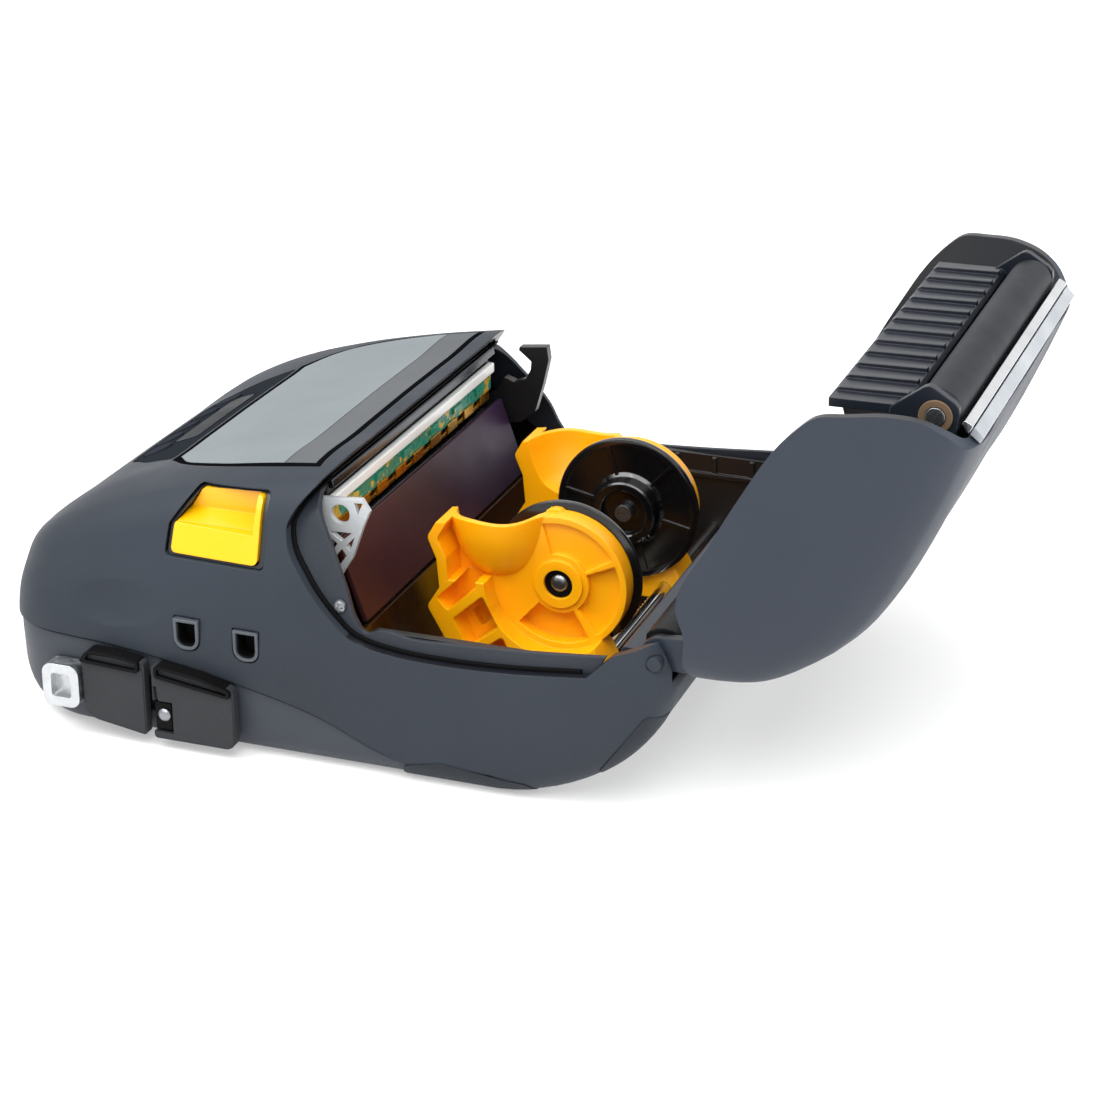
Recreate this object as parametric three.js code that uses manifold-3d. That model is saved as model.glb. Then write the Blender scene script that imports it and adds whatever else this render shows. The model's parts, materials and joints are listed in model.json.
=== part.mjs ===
// Mobile label maker with its media cover open.
// Millimetres. X runs along the length (keypad end at -X, hinge end at +X), Y across the width,
// Z up. The flat underside lies on Z = 0 and the machine is symmetric about Y = 0 in outline.
import * as THREE from 'three'
import { mergeVertices } from 'three/addons/utils/BufferGeometryUtils.js'
import Module from 'manifold-3d'

const wasm = await Module()
wasm.setup()

// ---------------------------------------------------------------- driving dimensions
const HALF_WIDTH = 84
const FRONT_END = -123.6
const DOME_CENTRE = -85
const REAR_END = 84
const WALL = 2.6
const GAP = 0.3
const HINGE_X = 74
const HINGE_Z = 44.2
const OPEN_ANGLE = 119.6
const TOP_LINE = [
  [-124, 46.4], [-105, 56], [-85, 64.4], [-72, 68.6], [-60, 71.8], [-42, 75.6], [-24, 78.6], [-10, 80.8],
  [4, 82.6], [16, 83.8], [28, 84.4], [40, 83.8], [50, 81.4], [58, 77.6], [64, 74], [68, 70.6], [71, 66.4],
  [75, 60], [79, 53.6], [82, 48], [84, 43],
]
const SIDE_LEAN = 0.19
const FLOOR_RADIUS = 8

const DISC_X = 31
const DISC_Z = 40.8
const MEDIA_HALF = 25
const DISC_RADIUS = 21.6
const ARM_DISC_RADIUS = 19.5
const GUIDE_PIN_RADIUS = 2.5
const ROD_RADIUS = 1.8
const RODS = [[20, 16.4], [42, 16.4]]
const PINION_X = 33
const PINION_TEETH = 12
const PITCH_RADIUS = 4.2

const PLATEN_X = -16.8
const PLATEN_Z = 66.6
const PLATEN_RADIUS = 6
const PLATEN_HALF = 58.4
const SHAFT_RADIUS = 2.5
const HEAD_HALF = 59.5
const HEAD_FACE = -23.3

const KEY_ROW_X = -98.6
const KEY_RADIUS = 3.9
const KEY_SPACING = 11.4

// ---------------------------------------------------------------- solids
function solid(geometry) {
  geometry.deleteAttribute('normal')
  geometry.deleteAttribute('uv')
  const merged = mergeVertices(geometry, 1e-4)
  const vertProperties = new Float32Array(merged.attributes.position.array)
  const triVerts = new Uint32Array(merged.index.array)
  const body = new wasm.Manifold(new wasm.Mesh({ numProp: 3, vertProperties, triVerts }))
  if (body.volume() > 0) return body
  for (let k = 0; k < triVerts.length; k += 3) {
    triVerts.subarray(k + 1, k + 3).reverse()
  }
  return new wasm.Manifold(new wasm.Mesh({ numProp: 3, vertProperties, triVerts }))
}

function geometryOf(manifold) {
  const mesh = manifold.getMesh()
  const geometry = new THREE.BufferGeometry()
  const positions = new Float32Array(mesh.vertProperties)
  geometry.setAttribute('position', new THREE.BufferAttribute(positions, 3))
  geometry.setIndex(new THREE.BufferAttribute(new Uint32Array(mesh.triVerts), 1))
  return geometry
}

function join(first, ...rest) {
  return rest.reduce((sum, item) => sum.add(item), first)
}

function cut(first, ...rest) {
  return rest.reduce((left, item) => left.subtract(item), first)
}

function extruded(points, depth) {
  const shape = new THREE.Shape(points.map(([a, b]) => new THREE.Vector2(a, b)))
  return new THREE.ExtrudeGeometry(shape, { depth, bevelEnabled: false })
}

// Outline in X and Z, swept from y0 to y1.
function prismY(points, y0, y1) {
  const geometry = extruded(points, y1 - y0)
  geometry.rotateX(Math.PI / 2)
  geometry.translate(0, y1, 0)
  return solid(geometry)
}

// Outline in X and Y, swept from z0 to z1.
function prismZ(points, z0, z1) {
  const geometry = extruded(points, z1 - z0)
  geometry.translate(0, 0, z0)
  return solid(geometry)
}

function box(x0, x1, y0, y1, z0, z1) {
  const geometry = new THREE.BoxGeometry(x1 - x0, y1 - y0, z1 - z0)
  geometry.translate((x0 + x1) / 2, (y0 + y1) / 2, (z0 + z1) / 2)
  return solid(geometry)
}

function rodY(x, z, radius, y0, y1, sides = 20) {
  const geometry = new THREE.CylinderGeometry(radius, radius, y1 - y0, sides)
  geometry.translate(x, (y0 + y1) / 2, z)
  return solid(geometry)
}

function rodZ(x, y, radius, z0, z1, sides = 20) {
  const geometry = new THREE.CylinderGeometry(radius, radius, z1 - z0, sides)
  geometry.rotateX(Math.PI / 2)
  geometry.translate(x, y, (z0 + z1) / 2)
  return solid(geometry)
}

// Body of revolution about a line along Y through (x, z); profile is [radius, y] pairs.
function turnedY(x, z, profile, sides = 28) {
  const points = profile.map(([r, y]) => new THREE.Vector2(r, y))
  const geometry = new THREE.LatheGeometry(points, sides)
  geometry.translate(x, 0, z)
  return solid(geometry)
}

// Corners are [a, b, radius]; each rounded corner becomes a short arc.
function rounded(corners, steps = 4) {
  const count = corners.length
  const out = []
  corners.forEach(([a, b, radius = 0], i) => {
    if (!radius) {
      out.push([a, b])
      return
    }
    const before = corners[(i + count - 1) % count]
    const after = corners[(i + 1) % count]
    const u = new THREE.Vector2(before[0] - a, before[1] - b).normalize()
    const v = new THREE.Vector2(after[0] - a, after[1] - b).normalize()
    const half = Math.acos(u.dot(v)) / 2
    const middle = u.clone().add(v).normalize().multiplyScalar(radius / Math.sin(half))
    const centre = new THREE.Vector2(a, b).add(middle)
    const reach = radius / Math.tan(half)
    const start = new THREE.Vector2(a, b).addScaledVector(u, reach).sub(centre)
    const end = new THREE.Vector2(a, b).addScaledVector(v, reach).sub(centre)
    let turn = end.angle() - start.angle()
    if (turn > Math.PI) turn -= 2 * Math.PI
    if (turn < -Math.PI) turn += 2 * Math.PI
    for (let k = 0; k <= steps; k += 1) {
      const angle = start.angle() + turn * k / steps
      out.push([centre.x + radius * Math.cos(angle), centre.y + radius * Math.sin(angle)])
    }
  })
  return out
}

function circle(a, b, radius, sides = 28, from = 0, to = 360) {
  const whole = to - from === 360
  const points = []
  for (let k = 0; k < sides + (whole ? 0 : 1); k += 1) {
    const angle = THREE.MathUtils.degToRad(from + (to - from) * k / sides)
    points.push([a + radius * Math.cos(angle), b + radius * Math.sin(angle)])
  }
  return points
}

// Closed body through rings of equal length, each a list of [x, y, z].
function loft(rings) {
  const count = rings[0].length
  const positions = []
  const index = []
  rings.forEach((ring) => ring.forEach((point) => positions.push(...point)))
  for (let i = 0; i + 1 < rings.length; i += 1) {
    for (let k = 0; k < count; k += 1) {
      const a = i * count + k
      const b = i * count + (k + 1) % count
      index.push(a, b, a + count)
      index.push(b, b + count, a + count)
    }
  }
  const last = (rings.length - 1) * count
  for (let k = 1; k + 1 < count; k += 1) {
    index.push(0, k + 1, k)
    index.push(last, last + k, last + k + 1)
  }
  const geometry = new THREE.BufferGeometry()
  geometry.setAttribute('position', new THREE.BufferAttribute(new Float32Array(positions), 3))
  geometry.setIndex(index)
  return solid(geometry)
}

function moved(body, matrix) {
  const geometry = geometryOf(body)
  geometry.applyMatrix4(matrix)
  return solid(geometry)
}

function mirrored(body) {
  return moved(body, new THREE.Matrix4().makeScale(1, -1, 1))
}

// ---------------------------------------------------------------- outer form
function onLine(table, x) {
  const last = table.length - 1
  if (x <= table[0][0]) return table[0][1]
  if (x >= table[last][0]) return table[last][1]
  let i = 0
  while (table[i + 1][0] < x) i += 1
  const slope = (k) => {
    const a = table[Math.max(k - 1, 0)]
    const b = table[Math.min(k + 1, last)]
    return (b[1] - a[1]) / (b[0] - a[0])
  }
  const span = table[i + 1][0] - table[i][0]
  const t = (x - table[i][0]) / span
  const h = t * t * (3 - 2 * t)
  const ends = (t * t * t - 2 * t * t + t) * slope(i) + (t * t * t - t * t) * slope(i + 1)
  return table[i][1] * (1 - h) + table[i + 1][1] * h + ends * span
}

function fade(amount, power) {
  const t = Math.min(Math.max(amount, 0), 1)
  return (1 - t ** power) ** (1 / power)
}

// Height of the widest line of the body, where the side starts to lean in.
function waist(x) {
  const t = Math.min(Math.max((x + 85) / 70, 0), 1)
  return 30 + 9 * t * t * (3 - 2 * t)
}

function section(x, inset, floorInset) {
  const dome = (DOME_CENTRE - x) / (DOME_CENTRE - FRONT_END - inset)
  const tail = (x - 60) / (26 - inset)
  const w = (HALF_WIDTH - inset) * fade(dome, 3.6) * fade(tail, 4)
  const ze = waist(x)
  const crest = onLine(TOP_LINE, x) - inset
  const top = Math.max(ze + (crest - ze) * fade(dome, 3.2), ze + 0.3)
  const front = (-92 - x) / (33 - inset)
  const rear = (x - 30) / (49 - inset)
  const drop = (ze - floorInset) * fade(front, 2) * fade(rear, 1.8)
  const bottom = Math.min(ze - drop, ze - 0.3)
  const rb = Math.min(FLOOR_RADIUS, (ze - bottom) * 0.8, w * 0.4)
  const half = [[0, bottom], [w - rb, bottom]]
  for (const angle of [45, 90]) {
    const a = THREE.MathUtils.degToRad(angle)
    half.push([w - rb + rb * Math.sin(a), bottom + rb - rb * Math.cos(a)])
  }
  half.push([w, ze])
  for (const s of [0.3, 0.6, 0.86]) {
    half.push([w * (1 - SIDE_LEAN * s ** 1.7), ze + (top - ze) * s])
  }
  half.push([w * 0.8, ze + (top - ze) * 0.945])
  half.push([w * 0.76, ze + (top - ze) * 0.97])
  half.push([w * 0.4, ze + (top - ze) * 0.992])
  half.push([0, top])
  const ring = half.map(([y, z]) => [x, y, z])
  for (let k = half.length - 2; k > 0; k -= 1) {
    ring.push([x, -half[k][0], half[k][1]])
  }
  return ring
}

// The whole closed machine's outside, moved inward by inset (and up from the floor by floorInset).
function skin(inset, floorInset = inset) {
  const xs = []
  for (const s of [0.999, 0.985, 0.94, 0.86, 0.74, 0.58, 0.4, 0.2]) {
    xs.push(DOME_CENTRE - (DOME_CENTRE - FRONT_END - inset) * s)
  }
  xs.push(-85, -60, -24, -8, 10, 28, 40, 50, 58, 64, 68, 71, 73.6, 76, 77.8, 79)
  for (const s of [0.5, 0.999]) {
    xs.push(79 + (REAR_END - inset - 79) * s)
  }
  return loft(xs.map((x) => section(x, inset, floorInset)))
}

function layer(outer, inner) {
  return cut(skin(outer), skin(inner))
}

// ---------------------------------------------------------------- split lines of the shell
// Edge of the housing round the media opening, hinge humps included.
const HOUSING_OPENING = [
  [-20, 120], [-21, 79], [-23.5, 76], [-28.6, 69], [-30, 65.5], [-29.4, 61.5], [-23.5, 53],
  [-14, 43], [-10.4, 40], [-5.5, 38], [2, 36.7], [18, 36], [34, 36.6], [56.4, 38.8], [63.2, 45.2],
  [67.4, 47.4], [73.6, 49], [76.6, 48.6], [77.8, 46.4], [77.8, 38.5], [79.2, 35], [95, 33], [95, 120],
]
// Edge of the closed cover.
const COVER_EDGE = [
  [-17, 120], [-17, 77], [-19.2, 71], [-19.6, 65.5], [-17.4, 57.5], [-12.6, 49.4], [-8, 43.2],
  [-2.4, 41], [4, 39.6], [20, 38.9], [36, 39.2], [56, 40.9], [62.4, 46.8], [66.8, 48.8], [70.4, 50.4],
  [73, 52.5], [90, 60], [100, 120],
]
const PAN_SEAM = [
  [-140, 27.5], [-75, 26], [-42, 20.5], [-18, 14.2], [-4, 8], [6, 4.4], [34, 4.4], [44, -4], [-140, -4],
]
const LATCH_WINDOW = [
  [-65.6, 53, 1.5], [-35.2, 53.4, 1.5], [-36.6, 72.6, 1.5], [-59.6, 70.4, 2], [-65.6, 61, 2],
]

function grown(points, amount) {
  const centre = points.reduce((sum, [a, b]) => [sum[0] + a, sum[1] + b], [0, 0])
  const a0 = centre[0] / points.length
  const b0 = centre[1] / points.length
  const reach = Math.max(...points.map(([a, b]) => Math.hypot(a - a0, b - b0)))
  const k = 1 + amount / reach * 1.35
  return points.map(([a, b, r]) => [a0 + (a - a0) * k, b0 + (b - b0) * k, r])
}

const nodes = []
function piece(name, manifold, color) {
  nodes.push([name, manifold, color])
}

const SLATE = 0x3d4350
const DARK = 0x15171b
const YELLOW = 0xf6c800
const ORANGE = 0xf79a10
const STEEL = 0xb9bcc0

// ---------------------------------------------------------------- openings in the housing
function panelOutline(shrink) {
  const half = [[-80.6 + shrink, 43 - shrink], [-72, 51.4 - shrink], [-60, 56.8 - shrink],
    [-44, 59.6 - shrink], [-26.6 - shrink, 61 - shrink]]
  return half.concat(half.map(([x, y]) => [x, -y]).reverse())
}
function bezelOutline(shrink) {
  const r = 9 - shrink
  return rounded([
    [-104.5 + shrink, -24 + shrink, r], [-92, -37 + shrink, 12], [-81.4 - shrink, -41.6 + shrink, 1],
    [-81.4 - shrink, 41.6 - shrink, 1], [-92, 37 - shrink, 12], [-104.5 + shrink, 24 - shrink, r],
  ], 3)
}
const LENS_OUTLINE = rounded([[-92.6, -20, 2], [-84.4, -20, 2], [-84.4, 20, 2], [-92.6, 20, 2]], 3)
const keyCentres = [-2, -1, 0, 1, 2].map((i) => [KEY_ROW_X + i * i * 0.7, i * KEY_SPACING])

function dSlot(x, z, width, height) {
  const r = width * 0.42
  return rounded([
    [x - width / 2, z + height / 2], [x - width / 2, z - height / 2, r],
    [x + width / 2, z - height / 2, r], [x + width / 2, z + height / 2],
  ], 4)
}
const D_SLOTS = [[-57, 33.6], [-39.4, 32.8]]

// Shallow oval hollow for the thumb on the near side.
function gripRecess() {
  const geometry = new THREE.SphereGeometry(1, 28, 12)
  geometry.scale(27, 8, 15)
  geometry.rotateX(-0.1)
  geometry.translate(-81, -88.6, 43)
  return solid(geometry)
}

const shell = layer(0, WALL)
const panRegion = prismY(PAN_SEAM, -100, 100)
const keyHoles = keyCentres.map(([x, y]) => rodZ(x, y, KEY_RADIUS + 0.4, 40, 100, 20))

// Lower pan, set in 0.8 mm from the housing above it.
const PORT_BOX = [-86.2, -44, 8.5, 19.4]
let pan = cut(skin(0.8, 0), skin(0.8 + WALL, WALL)).intersect(panRegion)
pan = cut(
  pan,
  box(PORT_BOX[0], PORT_BOX[1], -90, -72, PORT_BOX[2], PORT_BOX[3]),
  box(-96.8, -91.4, -90, -72, 11, 17.5),
  box(-96.8, -91.4, 72, 90, 11, 17.5),
)
piece('base_pan', pan, 0x4a505b)

// Upper housing with its windows and recesses.
let housing = cut(
  shell,
  prismY(PAN_SEAM.map(([x, z]) => [x + 0.1, z + GAP]), -100, 100),
  prismY(HOUSING_OPENING, -100, 100),
  skin(-1).intersect(prismZ(panelOutline(0), 55, 100)).subtract(skin(1.35)),
  skin(-1).intersect(prismZ(bezelOutline(0), 40, 100)).subtract(skin(1.35)),
  prismY(rounded(LATCH_WINDOW, 3), -100, -55),
  ...D_SLOTS.map(([x, z]) => prismY(dSlot(x, z, 8, 9.4), -90, -78)),
  ...keyHoles,
  box(58, 90, -78, 78, 38.5, 60),
  gripRecess(),
  rodY(HINGE_X, HINGE_Z, 2.03, -90, 90),
)
piece('main_housing', housing, SLATE)

// Flush top panel and keypad bezel, both curved with the body.
piece('top_panel', layer(-0.1, 1.05).intersect(prismZ(panelOutline(0.3), 55, 100)), 0x8b9096)
piece('keypad_bezel', cut(
  layer(0.05, 1.05).intersect(prismZ(bezelOutline(0.3), 40, 100)),
  prismZ(LENS_OUTLINE, 45, 100),
  ...keyHoles,
), DARK)
piece('display_lens', layer(-0.05, 1.05).intersect(prismZ(
  rounded([[-92.3, -19.7, 1.7], [-84.7, -19.7, 1.7], [-84.7, 19.7, 1.7], [-92.3, 19.7, 1.7]], 3),
  45, 100)), 0x2a3440)
const keyNames = ['key_power', 'key_left', 'key_select', 'key_right', 'key_feed']
keyCentres.forEach(([x, y], i) => {
  piece(keyNames[i], layer(-0.9, 1.9).intersect(rodZ(x, y, KEY_RADIUS, 40, 100, 20)), 0x50555e)
})

// ---------------------------------------------------------------- latch button on the near side
const latchRing = rounded(grown(LATCH_WINDOW, -0.3), 3)
const latchHole = rounded(grown(LATCH_WINDOW, -1.4), 3)
piece('latch_frame', cut(
  layer(0.9, 4.4).intersect(prismY(latchRing, -100, -61)),
  prismY(latchHole, -100, -50),
), DARK)
const latchFace = rounded(grown(LATCH_WINDOW, -1.8), 3)
const thumbPocket = prismY([[-70, 61.6], [-40, 61.6], [-40.4, 85], [-70, 85]], -90, -73).add(loft([
  [[-40, -73.2, 61.6], [-40.4, -73.2, 85], [-70, -73.2, 85], [-70, -73.2, 61.6]],
  [[-40.6, -66.6, 63.8], [-41, -66.6, 85], [-70, -66.6, 85], [-70, -66.6, 63.8]],
]))
const latch = cut(skin(0.2).intersect(prismY(latchFace, -100, -50)), skin(13), thumbPocket)
  .intersect(box(-80, -20, -100, -63.6, 50, 80))
piece('latch_button', latch, YELLOW)

// ---------------------------------------------------------------- belt slots and strap posts
D_SLOTS.forEach(([x, z], i) => {
  const rim = prismY(dSlot(x, z, 7.4, 8.8), -84.7, -77.5)
  const mouth = prismY(dSlot(x, z, 5.6, 7), -86, -78.7)
  piece(`belt_slot_${i + 1}`, cut(rim, mouth), 0x23262c)
})
function strapPost() {
  const ring = rounded([[-99.2, 8.6, 3], [-88.1, 8.6, 3], [-88.1, 21.2, 3], [-99.2, 21.2, 3]], 3)
  const hole = rounded([[-96.6, 11.4, 1], [-90.6, 11.4, 1], [-90.6, 18.4, 1], [-96.6, 18.4, 1]], 2)
  const loop = cut(prismY(ring, -89.6, -84.4), prismY(hole, -92, -86.6))
  return loop.add(box(-96.6, -91.6, -84.6, -78.5, 11.2, 17.3))
}
piece('strap_post_near', strapPost(), STEEL)
piece('strap_post_far', mirrored(strapPost()), STEEL)

// ---------------------------------------------------------------- ports under rubber doors
piece('port_block', cut(
  box(PORT_BOX[0] + GAP, PORT_BOX[1] - GAP, -82.6, -70, PORT_BOX[2] + GAP, PORT_BOX[3] - GAP),
  box(-83.5, -73.5, -84, -73, 10.8, 16.6),
  prismY(circle(-54, 14, 4.2, 20), -84, -73),
).add(rodY(-54, 14, 1, -81.5, -72.9, 12)), DARK)
piece('usb_shell', cut(
  box(-83.3, -73.7, -82.2, -73.3, 11, 16.4),
  box(-82.6, -74.4, -84, -74, 11.7, 15.7),
), STEEL)

const DOOR_HINGE_Y = -86.6
function doorPlate(outline, lip) {
  return join(prismY(outline, -88.2, -85.1), prismY(lip, -89.4, -84.6))
}
piece('port_door_left', doorPlate(
  rounded([[-87.6, 6.2, 5], [-68.6, 3.2, 1], [-68.6, 25, 1], [-87.6, 25, 1.5]], 4),
  rounded([[-87.6, 22.6, 1.2], [-69.8, 22, 1.2], [-69.8, 25.6, 1.2], [-85.8, 26.6, 1.2]], 2),
), 0x26282c)
piece('port_door_right', cut(
  doorPlate(
    rounded([[-66.4, 3, 1], [-42, 3, 3], [-42, 21, 2], [-66.4, 25, 1]], 4),
    rounded([[-65, 21.5, 1.2], [-42.6, 18.6, 1.2], [-42.6, 22.2, 1.2], [-65, 25.3, 1.2]], 2),
  ),
  box(-67, -60.4, -92, -80, 5, 14.4),
), 0x26282c)
piece('door_anchor', box(-66, -61, -87.6, -83.5, 5.6, 13.8), 0x1c1d20)
const screwHead = [[0, -88.9], [1.1, -88.9], [1.9, -88.2], [1.9, -87.7], [0, -87.7]]
piece('anchor_screw', turnedY(-63, 10.4, screwHead, 16), STEEL)

// ---------------------------------------------------------------- inside faces round the opening
const FLANGE_BAND = [
  [-28.8, 73], [-33, 68.5], [-34.2, 64], [-33, 60], [-27, 51], [-16, 40.6], [-6, 35], [2, 33], [18, 32.4],
  [56, 35], [60.6, 43.4], [38.3, 41.6], [17.4, 40.5], [6.8, 40.2], [-1.7, 41.4], [-6.4, 40.2],
  [-9, 43.4], [-12, 50.4], [-16, 57.4], [-20.8, 64.6], [-24, 70], [-24.8, 72.4],
]
const flange = layer(WALL + 1.1, 5.1).intersect(prismY(FLANGE_BAND, -100, -60))
piece('side_flange_near', flange, 0x555b66)
piece('side_flange_far', mirrored(flange), 0x555b66)
const flangeHead = [[0, -75.2], [2.1, -75.2], [2.4, -75.9], [2.4, -77.5], [0, -77.5]]
piece('flange_screw', turnedY(-14.6, 43.6, flangeHead, 16), STEEL)

const TUB_FLOOR = [
  [-13.4, 33.4], [-12.4, 24], [-8.4, 14.6], [0, 9.6], [10, 8.6], [42, 9.1], [47.4, 12.8],
  [56, 20.4], [62, 27.2], [66.4, 34], [68, 38],
]
function strip(line, thickness) {
  const below = line.map(([x, z], i) => {
    const a = line[Math.max(i - 1, 0)]
    const b = line[Math.min(i + 1, line.length - 1)]
    const length = Math.hypot(b[0] - a[0], b[1] - a[1])
    return [x + (b[1] - a[1]) / length * thickness, z - (b[0] - a[0]) / length * thickness]
  })
  return line.concat(below.reverse())
}
const tub = prismY(strip(TUB_FLOOR, 1.6), -76, 76).add(rodZ(PINION_X, 0, 1.5, 8, 13))
piece('media_tub', tub, 0x5a3312)

const WALL_OUTLINE = rounded([
  [-11, 22, 2], [-4, 12.6, 2], [6, 10, 2], [44, 10.4, 2], [59, 20.8, 2], [59, 40.6, 1.5],
  [-4, 40.6, 1.5], [-11, 36, 2],
], 2)
function bayWall() {
  const plate = prismY(WALL_OUTLINE, -78.6, -76.4)
  const bars = [6, 18, 30, 42, 54].map((x) => box(x - 0.7, x + 0.7, -77, -75.6, 34, 40))
  const rail = box(-3, 58, -77, -75.4, 33.4, 34.8)
  const holes = RODS.map(([x, z]) => rodY(x, z, ROD_RADIUS + 0.05, -80, -74))
  return cut(join(plate, ...bars, rail), ...holes)
}
piece('bay_wall_near', bayWall(), DARK)
piece('bay_wall_far', mirrored(bayWall()), DARK)
const barrel = rodY(HINGE_X, HINGE_Z, 6.6, -72.8, 72.8).intersect(box(69, 79.8, -73, 73, 39, 60))
piece('hinge_barrel', cut(barrel,
  rodY(HINGE_X, HINGE_Z, 2.03, -80, -67), rodY(HINGE_X, HINGE_Z, 2.03, 67, 80)), DARK)
piece('rear_rail', prismY(rounded([[61, 38.6, 1], [67.4, 38.6, 1], [68.4, 42.6, 1.4], [62, 43.4, 1.4]], 3),
  -71, 71), 0x6b717b)

// ---------------------------------------------------------------- print head, across the front
piece('head_carrier', prismY([
  [-42, 57], [HEAD_FACE - 2.2, 57], [HEAD_FACE - 2.2, 73.3], [-34, 71.4], [-42, 69.2],
], -HEAD_HALF, HEAD_HALF), DARK)
piece('tear_bar', prismY(rounded([
  [HEAD_FACE - 1.9, 70.9, 0.4], [HEAD_FACE + 0.1, 70.9, 0.6], [HEAD_FACE - 0.5, 73.6, 0.5],
  [HEAD_FACE - 1.9, 73.6, 0.4],
], 2), -HEAD_HALF, HEAD_HALF), STEEL)
piece('print_strip', prismY(rounded([
  [HEAD_FACE - 1.9, 65.6], [HEAD_FACE, 65.6, 0.5], [HEAD_FACE, 68.8, 0.5], [HEAD_FACE - 1.9, 68.8],
], 2), -HEAD_HALF + 1, HEAD_HALF - 1), 0xe8e4da)
const chips = [-44, -27, -8, 12, 30, 48].map((y) => (
  box(HEAD_FACE - 1.4, HEAD_FACE - 0.4, y - 3, y + 3, 62.4, 64.4)
))
piece('head_board', join(
  box(HEAD_FACE - 2, HEAD_FACE - 1.2, -HEAD_HALF + 1, HEAD_HALF - 1, 60.4, 65.2),
  ...chips,
), 0x1d6a52)
const teeth = []
for (let y = -52; y <= 52; y += 13) {
  teeth.push(box(HEAD_FACE - 2, HEAD_FACE - 0.6, y - 3.6, y + 3.6, 58, 61))
}
piece('contact_comb', join(
  box(HEAD_FACE - 2, HEAD_FACE - 1.3, -56.5, 56.5, 57.4, 58.6),
  ...teeth.map((tooth) => tooth.subtract(box(-30, HEAD_FACE - 1.15, -70, 70, 59.6, 64))),
), 0xc99a2e)

// Plate that leads the labels from the tub up to the head.
const FILM_TOP = [-22, 56.8]
const FILM_FOOT = [-14, 34.2]
piece('film_plate', prismY(strip([FILM_TOP, FILM_FOOT], 1.6), -61, 61), 0x2a2236)

// Lattice side frame of the head on the near side.
const BRACKET = [
  [-26, 70], [-13.4, 71], [-11.2, 67.6], [-13.4, 62.5], [-16.4, 54], [-21, 46.4], [-23.4, 46.4],
  [-24.2, 56],
]
let bracket = prismY(BRACKET, -64.2, -62.4)
bracket = cut(
  bracket,
  rodY(-19.7, 66, 2.7, -66, -60, 18),
  prismY([[-15.6, 69.6], [-13.2, 69.8], [-14.6, 66.6]], -66, -60),
  prismY([[-22.9, 60.6], [-16.6, 60.9], [-19.6, 58.2]], -66, -60),
  prismY([[-23.2, 59.2], [-20.9, 57.3], [-22.9, 54.2]], -66, -60),
  prismY([[-15.9, 59.6], [-18.3, 57], [-17.2, 55.6]], -66, -60),
  prismY([[-19.6, 56], [-22.2, 52.6], [-21.6, 49.4], [-18.3, 54.2]], -66, -60),
)
piece('head_bracket_near', bracket, 0xb4b7ba)

// Latch shaft with a catch hook at each end.
const SHAFT_X = -29.5
const SHAFT_Z = 50
const HOOK = [
  [-33.4, 49], [-32.2, 46.8], [-29, 45.8], [-24.6, 47.6], [-16, 49], [-11.6, 53], [-9, 62], [-7.2, 70],
  [-7.8, 74.2], [-16.6, 73.2], [-16.8, 72.2], [-12.8, 69], [-13, 66.4], [-14.6, 63.2], [-18.4, 61.8],
  [-21.6, 63], [-24.4, 58.4], [-31.6, 54],
]
piece('latch_shaft', rodY(SHAFT_X, SHAFT_Z, 2, -66.6, 66.6, 20), STEEL)
const hookHole = rodY(SHAFT_X, SHAFT_Z, 2.05, 60, 72, 20)
piece('catch_hook_far', cut(prismY(HOOK, 62.6, 65.6), hookHole), DARK)

// ---------------------------------------------------------------- sliding media guides
RODS.forEach(([x, z], i) => {
  piece(`guide_rod_${i + 1}`, rodY(x, z, ROD_RADIUS, -78.2, 78.2), STEEL)
})

const ARM_PLATE = rounded([
  [-2.6, 56.6, 1], [-4.6, 52, 2], [-2.2, 46, 2], [-1.4, 38, 1], [-5.4, 31.5, 2], [3.5, 16, 2],
  [14, 12.8, 1], [46, 12.8, 1.5], [46.6, 20, 2], [36, 40], [34, 58], [30, 61, 1], [26.4, 61.2, 1],
], 2)
const ARM_BLOCK = rounded([
  [-1.4, 40], [-1.4, 38, 1], [-5.4, 31.5, 2], [3.5, 16, 2], [14, 12.8, 1], [46, 12.8, 1.5],
  [46.6, 20, 2], [36, 40], [34, 50], [24, 43.6], [12, 40.6],
], 2)
const ARM_RIM = rounded([
  [-1.4, 58.6, 1], [-5, 52.2, 2], [-2.4, 46, 2], [-1.6, 37], [1, 37], [0.4, 46.6, 2], [-2.2, 52, 2],
  [0.8, 57.4, 1],
], 2)
function quad(points, y0, y1) {
  return prismY(rounded(points.map(([a, b]) => [a, b, 0.8]), 2), y0, y1)
}
function sector(r0, r1, from, to, y0, y1) {
  const outer = circle(DISC_X, DISC_Z, r1, 8, from, to)
  const inner = circle(DISC_X, DISC_Z, r0, 6, from, to).reverse()
  return prismY(outer.concat(inner), y0, y1)
}
const ARM_OUT = -40
const DISC_OUT = -33.4
const ARM_IN = -MEDIA_HALF - 2.4
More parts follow.
